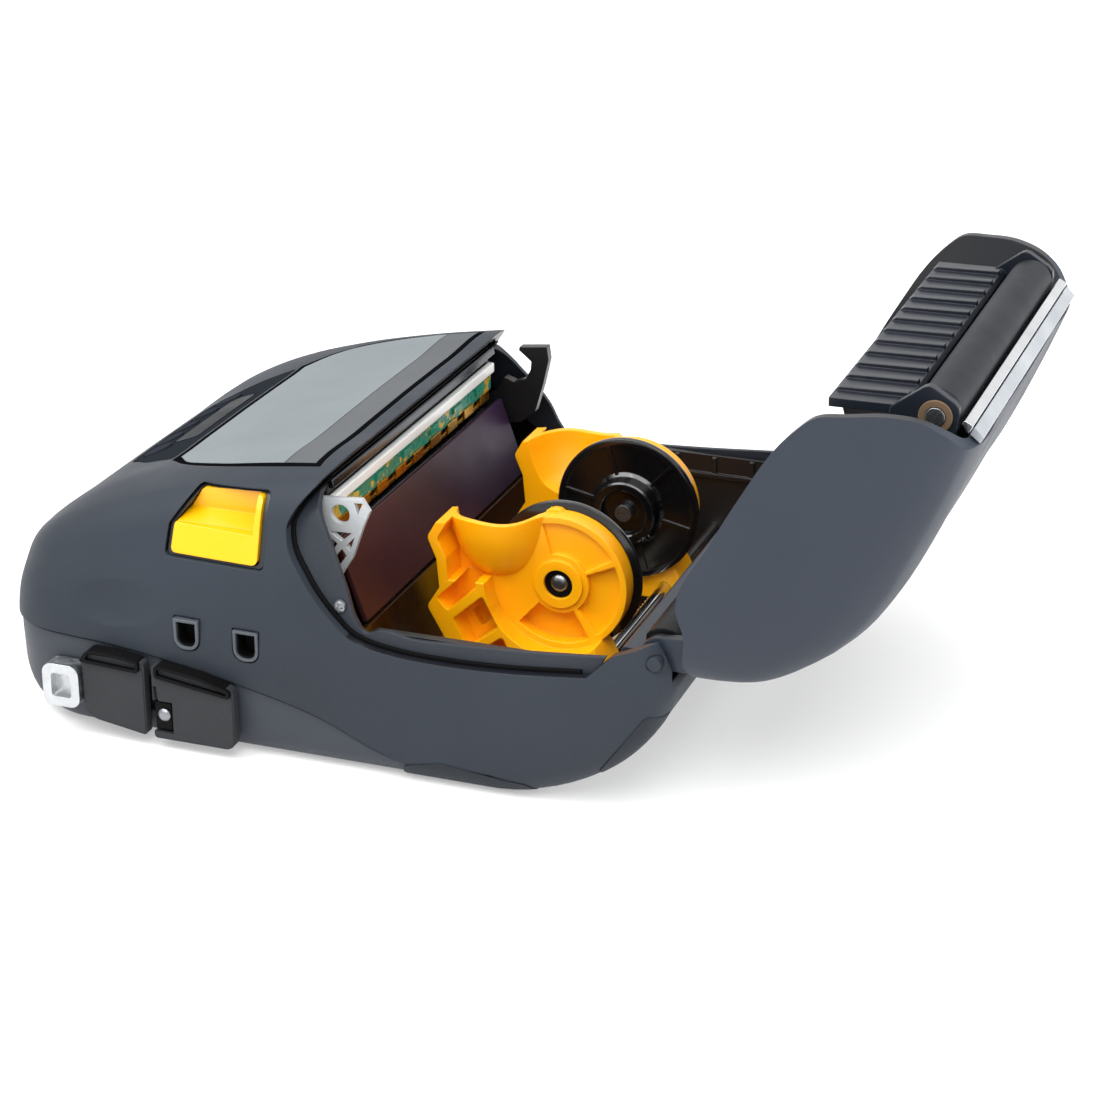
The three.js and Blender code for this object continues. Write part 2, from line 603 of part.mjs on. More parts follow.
// Finger bowl that bulges from the arm's outer face; each level is [half width, depth, height].
const BOWL_X = 12.6
function bowl(levels, inner) {
  return loft(levels.map(([half, depth, z]) => {
    const ring = circle(0, 0, 1, 10, 180, 360)
    return ring.map(([c, d]) => [BOWL_X + half * c, inner + depth * d, z])
  }))
}
function guideArm() {
  const face = prismY(circle(DISC_X, DISC_Z, ARM_DISC_RADIUS, 36), -60, DISC_OUT)
  const block = cut(join(prismY(ARM_BLOCK, ARM_OUT, ARM_IN), prismY(ARM_RIM, ARM_OUT, ARM_IN)), face)
  const plate = prismY(ARM_PLATE, ARM_IN - 2.4, ARM_IN)
  const disc = prismY(circle(DISC_X, DISC_Z, ARM_DISC_RADIUS, 36), DISC_OUT, ARM_IN)
  const hub = prismY(circle(DISC_X, DISC_Z, 7, 28), DISC_OUT - 0.8, ARM_IN)
  const cup = bowl([[4, 3.4, 39], [9.6, 8.2, 42.6], [13.2, 11.2, 49.4], [15.8, 12.9, 60]], ARM_IN)
  const hollow = bowl([[2.6, 3, 41.2], [8, 7.4, 44], [11.6, 10.4, 50], [14.4, 12.2, 62]], ARM_IN + 1)
  const above = prismY([
    [-12, 53], [-3, 56.6], [6, 58], [20, 58.4], [26, 60.4], [40, 64], [40, 70], [-12, 70],
  ], -60, -20)
  return cut(
    join(block, plate, disc, hub, cup),
    hollow,
    above,
    quad([[-2.6, 34.4], [6.6, 43.6], [9.6, 39.4], [0.6, 30.8]], -60, -30),
    quad([[2.2, 28.8], [11, 36.8], [15.6, 28], [6.4, 20.4]], -60, -33),
    quad([[5.4, 29], [10.4, 33.6], [12.8, 28.8], [8, 24.4]], -60, -30),
    quad([[8.4, 19.2], [16.8, 25.4], [19.4, 19.8], [13.6, 16.8]], -60, -30),
    sector(8.6, 17.6, 228, 300, -60, -28.9),
    sector(8.6, 17.6, 308, 384, -60, -31.4),
    sector(8.6, 17.6, 30, 106, -60, -32.2),
    rodY(DISC_X, DISC_Z, GUIDE_PIN_RADIUS + 0.03, -60, -20),
    prismY(circle(DISC_X, DISC_Z, 4.2, 20), -60, -32.8),
    ...RODS.map(([x, z]) => rodY(x, z, ROD_RADIUS + 0.06, -60, -20)),
  )
}
const arm = guideArm()
piece('media_guide_near', arm, ORANGE)
piece('media_guide_far', mirrored(arm), ORANGE)
const pin = turnedY(DISC_X, DISC_Z, [
  [0, -34], [1.5, -34], [GUIDE_PIN_RADIUS, -33.2], [GUIDE_PIN_RADIUS, -21], [0, -21],
], 24)
piece('guide_pin_near', pin, STEEL)
piece('guide_pin_far', mirrored(pin), STEEL)
// Core disc: a flat flange, a stepped hub for small and large cores, open at the middle.
const bore = GUIDE_PIN_RADIUS + 0.06
const coreDisc = turnedY(DISC_X, DISC_Z, [
  [bore, -27], [DISC_RADIUS - 0.5, -27], [DISC_RADIUS, -26.6], [DISC_RADIUS, -25.4],
  [DISC_RADIUS - 0.6, -25], [10.4, -25], [9.4, -20.8], [7, -20.8], [6.4, -23.4], [bore, -23.4],
  [bore, -27],
], 28)
piece('core_disc_near', coreDisc, DARK)
piece('core_disc_far', mirrored(coreDisc), DARK)

// Rack under each guide, both meshing one pinion so the guides stay centred.
const PITCH = 2 * Math.PI * PITCH_RADIUS / PINION_TEETH
function rack() {
  const face = PINION_X - PITCH_RADIUS
  const y0 = -38
  const y1 = 16
  const outline = [[face - 3.4, y0], [face - 3.4, y1]]
  const line = []
  for (let y = (Math.ceil(y0 / PITCH) + 1.5) * PITCH; y < y1 - 1.4; y += PITCH) {
    line.push([face - 0.9, y - 0.55], [face + 0.55, y - 0.24])
    line.push([face + 0.55, y + 0.24], [face - 0.9, y + 0.55])
  }
  outline.push([face - 0.9, y1], ...line.reverse(), [face - 0.9, y0])
  return prismZ(outline, 9.5, 12.3)
}
piece('guide_rack_near', rack(), 0xd8d4c8)
const halfTurn = new THREE.Matrix4().makeTranslation(2 * PINION_X, 0, 0)
  .multiply(new THREE.Matrix4().makeRotationZ(Math.PI))
piece('guide_rack_far', moved(rack(), halfTurn), 0xd8d4c8)
const gear = []
for (let k = 0; k < PINION_TEETH; k += 1) {
  const middle = 2 * Math.PI * k / PINION_TEETH
  for (const [radius, turn] of [[3.3, -0.155], [4.8, -0.055], [4.8, 0.055], [3.3, 0.155]]) {
    gear.push([PINION_X + radius * Math.cos(middle + turn), radius * Math.sin(middle + turn)])
  }
}
piece('guide_pinion', cut(prismZ(gear, 9.5, 12.3), rodZ(PINION_X, 0, 1.56, 5, 20)), 0xd8d4c8)

// ---------------------------------------------------------------- media cover, drawn closed
const swing = new THREE.Matrix4().makeTranslation(HINGE_X, 0, HINGE_Z)
  .multiply(new THREE.Matrix4().makeRotationY(THREE.MathUtils.degToRad(OPEN_ANGLE)))
  .multiply(new THREE.Matrix4().makeTranslation(-HINGE_X, 0, -HINGE_Z))
function opened(body) {
  return moved(body, swing)
}
function lug() {
  const arm = prismY([
    [HINGE_X - 4.6, HINGE_Z - 2.6], [HINGE_X + 4.4, HINGE_Z + 3], [68, 58], [62, 65], [57, 63], [61, 54.4],
  ], -76.4, -73.4)
  const eye = rodY(HINGE_X, HINGE_Z, 5.4, -76.4, -73.4, 28)
  return cut(join(arm, eye).intersect(skin(0.4)), rodY(HINGE_X, HINGE_Z, 2.06, -80, -70))
}
const coverShell = join(shell.intersect(prismY(COVER_EDGE, -100, 100)), lug(), mirrored(lug()))
piece('cover_shell', opened(coverShell), SLATE)

// Ribbed paper guide with the trough behind the platen and its end cheeks.
const TROUGH = circle(PLATEN_X, PLATEN_Z, 7.4, 10, -66, 62)
  .concat(circle(PLATEN_X, PLATEN_Z, 9.6, 10, -60, 58).reverse())
const guideWall = [[-5, 42.4], [-14.4, 58.6], [-13.8, 60.2], [-11, 60.2], [-11.8, 58.8], [-3, 43.6]]
let paperGuide = join(
  prismY(guideWall, -61, 61),
  prismY(TROUGH, -61, 61),
  prismY([[-13.2, 72.6], [-11.8, 73.6], [-10, 76.2], [-7.6, 76.2], [-10.4, 71.6]], -61, 61),
)
const ribs = []
for (let i = 0; i < 12; i += 1) {
  const y = -53.9 + i * 9.8
  ribs.push(prismY([[-5, 42.4], [-6.4, 43], [-15.4, 58], [-14.4, 58.6], [-12.6, 58.6], [-4, 43.4]],
    y - 1.1, y + 1.1))
}
const cheek = prismY(rounded([
  [-22.8, 60.8, 2], [-12, 56, 2], [-6, 60, 2], [-6, 73, 3], [-13, 74.2, 2], [-22.4, 70.6, 3],
], 2), -61.4, -59)
paperGuide = cut(
  join(paperGuide, ...ribs, cheek, mirrored(cheek)),
  rodY(PLATEN_X, PLATEN_Z, 4.4, -70, 70, 24),
  rodY(PLATEN_X, PLATEN_Z, 7.2, -58.9, 58.9, 28),
)
piece('paper_guide', opened(paperGuide), DARK)
const bearing = cut(rodY(PLATEN_X, PLATEN_Z, 4.34, -61.8, -58.9, 24),
  rodY(PLATEN_X, PLATEN_Z, SHAFT_RADIUS + 0.06, -70, -50))
piece('platen_bearing_near', opened(bearing), 0xc7a27a)
piece('platen_bearing_far', opened(mirrored(bearing)), 0xc7a27a)
piece('platen_shaft', opened(rodY(PLATEN_X, PLATEN_Z, SHAFT_RADIUS, -62.1, 62.1)), STEEL)
piece('platen_roller', opened(cut(
  turnedY(PLATEN_X, PLATEN_Z, [
    [0, -PLATEN_HALF], [PLATEN_RADIUS - 0.6, -PLATEN_HALF], [PLATEN_RADIUS, -PLATEN_HALF + 0.6],
    [PLATEN_RADIUS, PLATEN_HALF - 0.6], [PLATEN_RADIUS - 0.6, PLATEN_HALF], [0, PLATEN_HALF],
  ], 28),
  rodY(PLATEN_X, PLATEN_Z, SHAFT_RADIUS + 0.02, -80, 80),
)), 0x2c3038)
piece('peel_bar', opened(prismY(rounded([
  [-20.6, 72.8, 0.5], [-19.6, 72.8, 0.4], [-18, 75.5, 0.3], [-20.6, 75.5, 0.5],
], 3), -62, 62)), STEEL)
piece('clear_strip', opened(prismY(rounded([
  [-20.2, 75.8, 0.3], [-18, 75.8, 0.2], [-17.4, 79.2, 0.2], [-19.2, 79.2, 0.3],
], 2), -61, 61)), 0xdfe6ea)

for (const side of [-1, 1]) {
  const pinEnd = rodY(HINGE_X, HINGE_Z, 2, side < 0 ? -81.8 : 67.4, side < 0 ? -67.4 : 81.8)
  piece(side < 0 ? 'hinge_pin_near' : 'hinge_pin_far', pinEnd, STEEL)
}

// ---------------------------------------------------------------- assembly
const group = new THREE.Group()
group.name = 'label_maker'
for (const [name, manifold, color] of nodes) {
  const mesh = new THREE.Mesh(geometryOf(manifold), new THREE.MeshStandardMaterial({ color }))
  mesh.name = name
  group.add(mesh)
}

export default group
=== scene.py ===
import json
import math

import bmesh
import bpy
import numpy as np
from mathutils import Matrix, Vector

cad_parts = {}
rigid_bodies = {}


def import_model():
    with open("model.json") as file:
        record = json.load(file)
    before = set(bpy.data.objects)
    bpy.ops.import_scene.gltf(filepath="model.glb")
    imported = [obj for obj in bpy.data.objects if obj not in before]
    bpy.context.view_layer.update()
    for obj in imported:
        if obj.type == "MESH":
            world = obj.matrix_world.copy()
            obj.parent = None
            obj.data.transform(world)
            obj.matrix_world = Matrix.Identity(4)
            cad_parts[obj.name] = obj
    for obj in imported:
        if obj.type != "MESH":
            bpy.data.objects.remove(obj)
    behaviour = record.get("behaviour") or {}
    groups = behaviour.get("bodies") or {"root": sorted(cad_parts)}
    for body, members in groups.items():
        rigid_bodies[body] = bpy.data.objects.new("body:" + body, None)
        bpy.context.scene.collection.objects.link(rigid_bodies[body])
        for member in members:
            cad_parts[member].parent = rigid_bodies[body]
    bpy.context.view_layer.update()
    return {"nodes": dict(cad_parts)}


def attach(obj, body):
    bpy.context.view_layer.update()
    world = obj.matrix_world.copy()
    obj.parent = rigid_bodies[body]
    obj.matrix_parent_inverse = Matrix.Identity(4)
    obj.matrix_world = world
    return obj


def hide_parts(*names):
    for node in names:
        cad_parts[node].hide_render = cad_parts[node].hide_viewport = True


# A mobile label maker that stands open for loading.
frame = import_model()
nodes = frame["nodes"]
scene = bpy.context.scene

BEYOND = 100  # past both sides of the machine, and above its top
MERGE_DISTANCE = 1e-4

# ------------------------------------------------------------------ working solids, in millimetres
scrap = bpy.data.collections.new("working_solids")
scene.collection.children.link(scrap)


def keep(mesh):
    ob = bpy.data.objects.new("solid", mesh)
    scrap.objects.link(ob)
    return ob


def solid(verts, faces):
    """Closed mesh with its faces turned outwards."""
    mesh = bpy.data.meshes.new("solid")
    mesh.from_pydata([tuple(map(float, v)) for v in verts], [], faces)
    bm = bmesh.new()
    bm.from_mesh(mesh)
    bmesh.ops.remove_doubles(bm, verts=bm.verts, dist=MERGE_DISTANCE)
    bmesh.ops.recalc_face_normals(bm, faces=bm.faces)
    bm.to_mesh(mesh)
    bm.free()
    return keep(mesh)


def combine(first, others, operation):
    work = keep(first.data.copy())
    for other in others:
        step = work.modifiers.new("step", "BOOLEAN")
        step.operation = operation
        step.solver = "MANIFOLD"
        step.object = other
    graph = bpy.context.evaluated_depsgraph_get()
    return keep(bpy.data.meshes.new_from_object(work.evaluated_get(graph)))


def cut(first, *others):
    return combine(first, others, "DIFFERENCE")


def join(first, *others):
    return combine(first, others, "UNION")


def meet(first, *others):
    return combine(first, others, "INTERSECT")


def moved(ob, matrix):
    out = keep(ob.data.copy())
    out.data.transform(matrix)
    if matrix.determinant() < 0:
        out.data.flip_normals()
    return out


def mirrored(ob):
    """Mirror image on the other side of the middle plane."""
    return moved(ob, Matrix.Diagonal((1, -1, 1, 1)))


def loft(rings):
    """Closed body through rings of equal length."""
    count = len(rings[0])
    verts = [p for ring in rings for p in ring]
    faces = []
    for i in range(len(rings) - 1):
        for k in range(count):
            a, b = i * count + k, i * count + (k + 1) % count
            faces.append((a, b, b + count, a + count))
    last = (len(rings) - 1) * count
    faces.append(tuple(range(count)))
    faces.append(tuple(range(last + count - 1, last - 1, -1)))
    return solid(verts, faces)


def prism_y(outline, y0, y1):
    return loft([[(a, y, b) for a, b in outline] for y in (y0, y1)])


def prism_z(outline, z0, z1):
    return loft([[(a, b, z) for a, b in outline] for z in (z0, z1)])


def through(outline):
    """Prism across the whole width, past both sides."""
    return prism_y(outline, -BEYOND, BEYOND)


def column(outline, z0):
    """Prism from z0 up past the top."""
    return prism_z(outline, z0, BEYOND)


def box(x0, x1, y0, y1, z0, z1):
    return prism_z([(x0, y0), (x1, y0), (x1, y1), (x0, y1)], z0, z1)


def circle(a, b, radius, sides=64, start=0.0, end=360.0):
    """Points on a circle, or on its arc from start to end degrees."""
    whole = end - start == 360
    turns = np.radians(np.linspace(start, end, sides + (0 if whole else 1), endpoint=not whole))
    return [(a + radius * math.cos(t), b + radius * math.sin(t)) for t in turns]


def rod_y(x, z, radius, y0, y1, sides=64):
    return prism_y(circle(x, z, radius, sides), y0, y1)


def rod_z(x, y, radius, z0, z1, sides=64):
    return prism_z(circle(x, y, radius, sides), z0, z1)


def turned_y(x, z, profile, sides=96):
    """Body of revolution about a line along Y; profile is (radius, y) pairs, closed if its ends meet."""
    closed = profile[0] == profile[-1]
    rings = profile[:-1] if closed else profile
    verts, faces = [], []
    for r, y in rings:
        for k in range(sides):
            t = 2 * math.pi * k / sides
            verts.append((x + r * math.cos(t), y, z + r * math.sin(t)))
    n = len(rings)
    for i in range(n if closed else n - 1):
        j = (i + 1) % n
        for k in range(sides):
            m = (k + 1) % sides
            faces.append((i * sides + k, i * sides + m, j * sides + m, j * sides + k))
    if not closed:
        faces += [tuple(range(sides)), tuple(range((n - 1) * sides, n * sides))]
    return solid(verts, faces)


def rounded(corners, steps=8):
    """Corners are (a, b, radius); each rounded corner becomes an arc."""
    out, count = [], len(corners)
    for i, corner in enumerate(corners):
        a, b = corner[:2]
        radius = corner[2] if len(corner) > 2 else 0
        here = Vector((a, b))
        if not radius:
            out.append((a, b))
            continue
        u = (Vector(corners[i - 1][:2]) - here).normalized()
        v = (Vector(corners[(i + 1) % count][:2]) - here).normalized()
        half = math.acos(max(-1, min(1, u.dot(v)))) / 2
        centre = here + (u + v).normalized() * (radius / math.sin(half))
        reach = radius / math.tan(half)
        p, q = here + u * reach - centre, here + v * reach - centre
        start = math.atan2(p.y, p.x)
        turn = math.atan2(q.y, q.x) - start
        turn = (turn + math.pi) % (2 * math.pi) - math.pi
        for k in range(steps + 1):
            t = start + turn * k / steps
            out.append((centre.x + radius * math.cos(t), centre.y + radius * math.sin(t)))
    return out


def blend(t, a, b, slope_a, slope_b, span):
    """Value between a and b that leaves and arrives with the given slopes."""
    h = t * t * (3 - 2 * t)
    ends = (t**3 - 2 * t**2 + t) * slope_a + (t**3 - t**2) * slope_b
    return a * (1 - h) + b * h + ends * span


def curve(points, steps=6):
    """Smooth open line through the points."""
    p = np.array(points, float)
    d = np.maximum(np.linalg.norm(np.diff(p, axis=0), axis=1), 1e-9)[:, None]
    chord = np.diff(p, axis=0) / d
    middle = (chord[1:] * d[:-1] + chord[:-1] * d[1:]) / (d[1:] + d[:-1])
    tangent = np.vstack([chord[:1], middle, chord[-1:]])
    out = []
    for i in range(len(p) - 1):
        for t in np.arange(steps) / steps:
            out.append(tuple(blend(t, p[i], p[i + 1], tangent[i], tangent[i + 1], d[i])))
    return out + [tuple(p[-1])]


# ------------------------------------------------------------------ outer form, as in the CAD
HALF_WIDTH, FRONT_END, DOME_CENTRE, REAR_END = 84, -123.6, -85, 84
WALL, SIDE_LEAN, FLOOR_RADIUS = 2.6, 0.19, 8
DOME_PLAN_POWER, DOME_TOP_POWER, REAR_PLAN_POWER = 3.6, 3.2, 4
CHIN_POWER, HEEL_POWER, SIDE_POWER = 2, 1.8, 1.7
REAR_FROM, REAR_LENGTH = 60, 26  # the plan narrows behind here
CHIN_FROM, CHIN_LENGTH = -92, 33  # the floor rises ahead of here
HEEL_FROM, HEEL_LENGTH = 30, 49  # the floor rises behind here
WAIST_FRONT, WAIST_RISE, WAIST_LENGTH = 30, 9, 70
HINGE_X, HINGE_Z, OPEN_ANGLE = 74, 44.2, 119.6
TOP_LINE = np.array([
    (-124, 46.4), (-105, 56), (-85, 64.4), (-72, 68.6), (-60, 71.8), (-42, 75.6), (-24, 78.6), (-10, 80.8),
    (4, 82.6), (16, 83.8), (28, 84.4), (40, 83.8), (50, 81.4), (58, 77.6), (64, 74), (68, 70.6), (71, 66.4),
    (75, 60), (79, 53.6), (82, 48), (84, 43),
])


def on_line(table, x):
    """Height of a smooth line through the table's points, level beyond its ends."""
    if x <= table[0][0]:
        return table[0][1]
    if x >= table[-1][0]:
        return table[-1][1]
    i = int(np.searchsorted(table[:, 0], x)) - 1

    def slope(k):
        a, b = table[max(k - 1, 0)], table[min(k + 1, len(table) - 1)]
        return (b[1] - a[1]) / (b[0] - a[0])

    span = table[i + 1][0] - table[i][0]
    t = (x - table[i][0]) / span
    return blend(t, table[i][1], table[i + 1][1], slope(i), slope(i + 1), span)


def fade(amount, power):
    """1 at 0 and 0 at 1, along a rounded corner; a higher power makes it squarer."""
    return (1 - min(max(amount, 0), 1) ** power) ** (1 / power)


def waist(x):
    """Height at which the machine is widest."""
    t = min(max((x - DOME_CENTRE) / WAIST_LENGTH, 0), 1)
    return WAIST_FRONT + WAIST_RISE * t * t * (3 - 2 * t)


def section(x, inset, floor_inset):
    """Ring round the machine at x: flat floor, round lower corner, upright flank, side leaning in, crown."""
    dome = (DOME_CENTRE - x) / (DOME_CENTRE - FRONT_END - inset)
    rear = (x - REAR_FROM) / (REAR_LENGTH - inset)
    w = (HALF_WIDTH - inset) * fade(dome, DOME_PLAN_POWER) * fade(rear, REAR_PLAN_POWER)
    ze = waist(x)
    crest = on_line(TOP_LINE, x) - inset
    top = max(ze + (crest - ze) * fade(dome, DOME_TOP_POWER), ze + 0.3)
    chin = fade((CHIN_FROM - x) / (CHIN_LENGTH - inset), CHIN_POWER)
    heel = fade((x - HEEL_FROM) / (HEEL_LENGTH - inset), HEEL_POWER)
    drop = (ze - floor_inset) * chin * heel
    bottom = min(ze - drop, ze - 0.3)
    rb = min(FLOOR_RADIUS, (ze - bottom) * 0.8, w * 0.4)
    half = [(y, bottom) for y in np.linspace(0, w - rb, 5)[:-1]]
    for t in np.radians(np.linspace(0, 90, 9)):
        half.append((w - rb + rb * math.sin(t), bottom + rb - rb * math.cos(t)))
    side = [(w, bottom + rb + 0.01), (w, ze)]
    side += [(w * (1 - SIDE_LEAN * s**SIDE_POWER), ze + (top - ze) * s) for s in (0.3, 0.6, 0.86)]
    side += [(w * s, ze + (top - ze) * t) for s, t in ((0.8, 0.945), (0.76, 0.97), (0.4, 0.992), (0, 1))]
    half += curve(side, 5)[1:]
    ring = [(x, y, z) for y, z in half]
    return ring + [(x, -y, z) for _, y, z in ring[-2:0:-1]]


def skin(inset, floor_inset=None):
    """The whole closed machine's outside, moved inward by inset; sections stand closer where it turns."""
    lift = inset if floor_inset is None else floor_inset
    front = DOME_CENTRE - FRONT_END - inset
    xs = [DOME_CENTRE - front * s for s in np.sin(np.radians(np.linspace(87.5, 6, 20)))]
    xs += list(np.arange(-85, 56, 4)) + list(np.arange(56, 74, 1.5)) + list(np.arange(74, 79, 0.5))
    xs += [79 + (REAR_END - inset - 79) * s for s in (0, 0.2, 0.4, 0.6, 0.77, 0.9, 0.97, 0.999)]
    return loft([section(x, inset, lift) for x in xs])


skins = {}


def skin_at(inset):
    if inset not in skins:
        skins[inset] = skin(inset)
    return skins[inset]


def layer(outer, inner):
    """Part of the wall between two depths below the outside; a negative depth stands proud."""
    return cut(skin_at(outer), skin_at(inner))


# ------------------------------------------------------------------ materials
def rgb(code):
    """Linear colour from a hex code."""
    channel = [int(code[i:i + 2], 16) / 255 for i in (1, 3, 5)]
    return tuple(c / 12.92 if c <= 0.04045 else ((c + 0.055) / 1.055) ** 2.4 for c in channel) + (1.0,)


def shade(colour, k):
    return tuple(min(1.0, c * k) for c in colour[:3]) + (1.0,)


class Tree:
    """A material's node tree, built up from its Principled shader."""

    def __init__(self, name):
        self.mat = bpy.data.materials.new(name)
        self.mat.use_nodes = True
        self.nodes = self.mat.node_tree.nodes
        self.link = self.mat.node_tree.links.new
        self.shader = self.nodes["Principled BSDF"]
        self.place = self.add("ShaderNodeTexCoord").outputs["Object"]

    def add(self, kind, **values):
        node = self.nodes.new(kind)
        for key, value in values.items():
            setattr(node, key, value)
        return node

    def noise(self, scale, detail=2.0, rough=0.5, stretch=None):
        node = self.add("ShaderNodeTexNoise")
        node.inputs["Scale"].default_value = scale
        node.inputs["Detail"].default_value = detail
        node.inputs["Roughness"].default_value = rough
        place = self.place
        if stretch:
            mapping = self.add("ShaderNodeMapping")
            mapping.inputs["Scale"].default_value = stretch
            self.link(place, mapping.inputs["Vector"])
            place = mapping.outputs["Vector"]
        self.link(place, node.inputs["Vector"])
        return node.outputs["Fac"]

    def spread(self, value, low, high, start=0.3, end=0.7):
        node = self.add("ShaderNodeMapRange")
        for key, number in (("From Min", start), ("From Max", end), ("To Min", low), ("To Max", high)):
            node.inputs[key].default_value = number
        self.link(value, node.inputs["Value"])
        return node.outputs["Result"]

    def mix(self, amount, first, second):
        node = self.add("ShaderNodeMix", data_type="RGBA")
        self.link(amount, node.inputs["Factor"])
        for value, socket in ((first, node.inputs[6]), (second, node.inputs[7])):
            if isinstance(value, tuple):
                socket.default_value = value
            else:
                self.link(value, socket)
        return node.outputs[2]

    def product(self, first, second):
        node = self.add("ShaderNodeMath", operation="MULTIPLY")
        self.link(first, node.inputs[0])
        self.link(second, node.inputs[1])
        return node.outputs[0]

    def edges(self, radius):
        """1 along edges, 0 on open faces, with the rounded normal that finds them."""
        bevel = self.add("ShaderNodeBevel", samples=4)
        bevel.inputs["Radius"].default_value = radius
        dot = self.add("ShaderNodeVectorMath", operation="DOT_PRODUCT")
        self.link(bevel.outputs["Normal"], dot.inputs[0])
        self.link(self.add("ShaderNodeNewGeometry").outputs["Normal"], dot.inputs[1])
        return self.spread(dot.outputs["Value"], 1.0, 0.0, 0.72, 0.99), bevel.outputs["Normal"]

    def bump(self, height, strength, distance, normal=None):
        node = self.add("ShaderNodeBump")
        node.inputs["Strength"].default_value = strength
        node.inputs["Distance"].default_value = distance
        self.link(height, node.inputs["Height"])
        if normal is not None:
            self.link(normal, node.inputs["Normal"])
        return node.outputs["Normal"]


def plastic(name, colour, rough=0.45, grain=2200, depth=3e-5, vary=0.09, edge_wear_and_highlight=0.25, round_edge=0.0004,
            specular=0.5, coat=0.0, smudge=0.07, tone=None):
    """Moulded plastic: slow colour drift, fine grain in roughness and relief, paler edges that are partly
    rubbed wear and partly a painted highlight on rounded rims.
    """
    t = Tree(name)
    base = rgb(colour)
    other = rgb(tone) if tone else shade(base, 1 + vary)
    drift = t.spread(t.noise(22, 3), 0.0, 1.0)
    paint = t.mix(drift, shade(base, 1 - vary), other)
    speck = t.spread(t.noise(900, 1), 0.0, 0.35, 0.5, 0.8)
    paint = t.mix(speck, paint, shade(base, 1 + 2 * vary))
    normal = None
    if round_edge:
        edge, normal = t.edges(round_edge)
    # Paler edges: partly rubbed wear, partly a painted highlight along the rounded rims.
    if round_edge and edge_wear_and_highlight:
        scuff_and_highlight = t.product(edge, t.spread(t.noise(260, 4, 0.7), 0.0, edge_wear_and_highlight, 0.35, 0.75))
        paint = t.mix(scuff_and_highlight, paint, shade(base, 2.2))
    t.link(paint, t.shader.inputs["Base Color"])
    fine = t.noise(grain, 2, 0.6)
    film = t.spread(t.noise(35, 4, 0.6), rough - smudge, rough + smudge)
    t.link(film, t.shader.inputs["Roughness"])
    t.link(t.bump(fine, 0.55, depth, normal), t.shader.inputs["Normal"])
    t.shader.inputs["Specular IOR Level"].default_value = specular
    t.shader.inputs["Coat Weight"].default_value = coat
    t.shader.inputs["Coat Roughness"].default_value = 0.12
    return t


def metal(name, colour, rough, brush=(3000, 60, 3000), depth=4e-6):
    """Drawn or ground metal: fine scratches along one way, slight stain in tone and gloss."""
    t = Tree(name)
    base = rgb(colour)
    stain = t.spread(t.noise(60, 4, 0.65), 0.0, 1.0)
    t.link(t.mix(stain, shade(base, 0.82), shade(base, 1.08)), t.shader.inputs["Base Color"])
    lines = t.noise(1, 3, 0.6, stretch=brush)
    t.link(t.spread(lines, rough * 0.7, rough * 1.5), t.shader.inputs["Roughness"])
    normal = t.edges(0.0002)[1]
    t.link(t.bump(lines, 0.5, depth, normal), t.shader.inputs["Normal"])
    t.shader.inputs["Metallic"].default_value = 1.0
    return t


BODY = plastic("body_slate", "#2c3138", 0.52, vary=0.06, specular=0.15, round_edge=0.0007).mat
# Lighter copy of the housing's slate for the lower pan: painted light for the lighter tone its
# inward-leaning lower face shows.
BODY_LOW_PAINTED_LIGHTER = plastic("pan_slate_painted_lighter", "#353940", 0.52, vary=0.06, specular=0.25).mat
COVER = plastic("cover_slate", "#2b313b", 0.48, vary=0.05, specular=0.25).mat
# Darker copy of the shell plastic for the inward faces of housing and cover: painted shade inside the
# hollow.
INSIDE_SHADE = plastic("shell_inside_painted_shade", "#101219", 0.34, vary=0.15, specular=0.45).mat
BLACK = plastic("inner_black", "#121315", 0.34, vary=0.2, edge_wear_and_highlight=0.15).mat
BLACK_GLOSS = plastic("disc_black", "#0c0c0d", 0.16, vary=0.2, edge_wear_and_highlight=0.1, depth=1e-5, coat=0.4).mat
KEYPAD = plastic("keypad_film", "#22252a", 0.6, vary=0.08, depth=1e-5, smudge=0.05, specular=0.0).mat
LENS = plastic("lens", "#101318", 0.34, vary=0.1, depth=3e-6, round_edge=0, specular=0.02).mat
KEYCAP = plastic("keycap", "#2b2e34", 0.6, vary=0.08, specular=0.0).mat
PANEL = plastic("panel_grey", "#6d7477", 0.5, grain=3200, depth=1e-5, vary=0.06, edge_wear_and_highlight=0.1, specular=0.2).mat
PANEL_STRIP = plastic(
    "panel_strip", "#56585a", 0.6, grain=3200, depth=1e-5, vary=0.08, edge_wear_and_highlight=0.1, specular=0.05,
).mat
PANEL_LINE = plastic("panel_line", "#0b0c0e", 0.5, vary=0.1, edge_wear_and_highlight=0.0, specular=0.0).mat
YELLOW = plastic("latch_yellow", "#e4a900", 0.34, vary=0.02, edge_wear_and_highlight=0.2, depth=1.5e-5).mat
FRAME_DARK = plastic("latch_frame", "#1b1d21", 0.4, vary=0.1).mat
RUBBER = plastic(
    "door_rubber", "#26282b", 0.66, grain=1500, depth=6e-5, vary=0.1, edge_wear_and_highlight=0.35, specular=0.3,
).mat
# Near-black rubber for the pin collars and the door anchor; the same black is painted shade on the rim
# strip, in the belt slots and in the door grips.
BLACK_RUBBER_AND_SHADE = plastic("grip_rubber_and_painted_shade", "#070708", 0.6, grain=1500, vary=0.1, edge_wear_and_highlight=0.35, specular=0.1).mat
PAD = plastic("pad_rubber", "#23272d", 0.58, grain=1500, depth=4e-5, vary=0.08, edge_wear_and_highlight=0.1, specular=0.2).mat
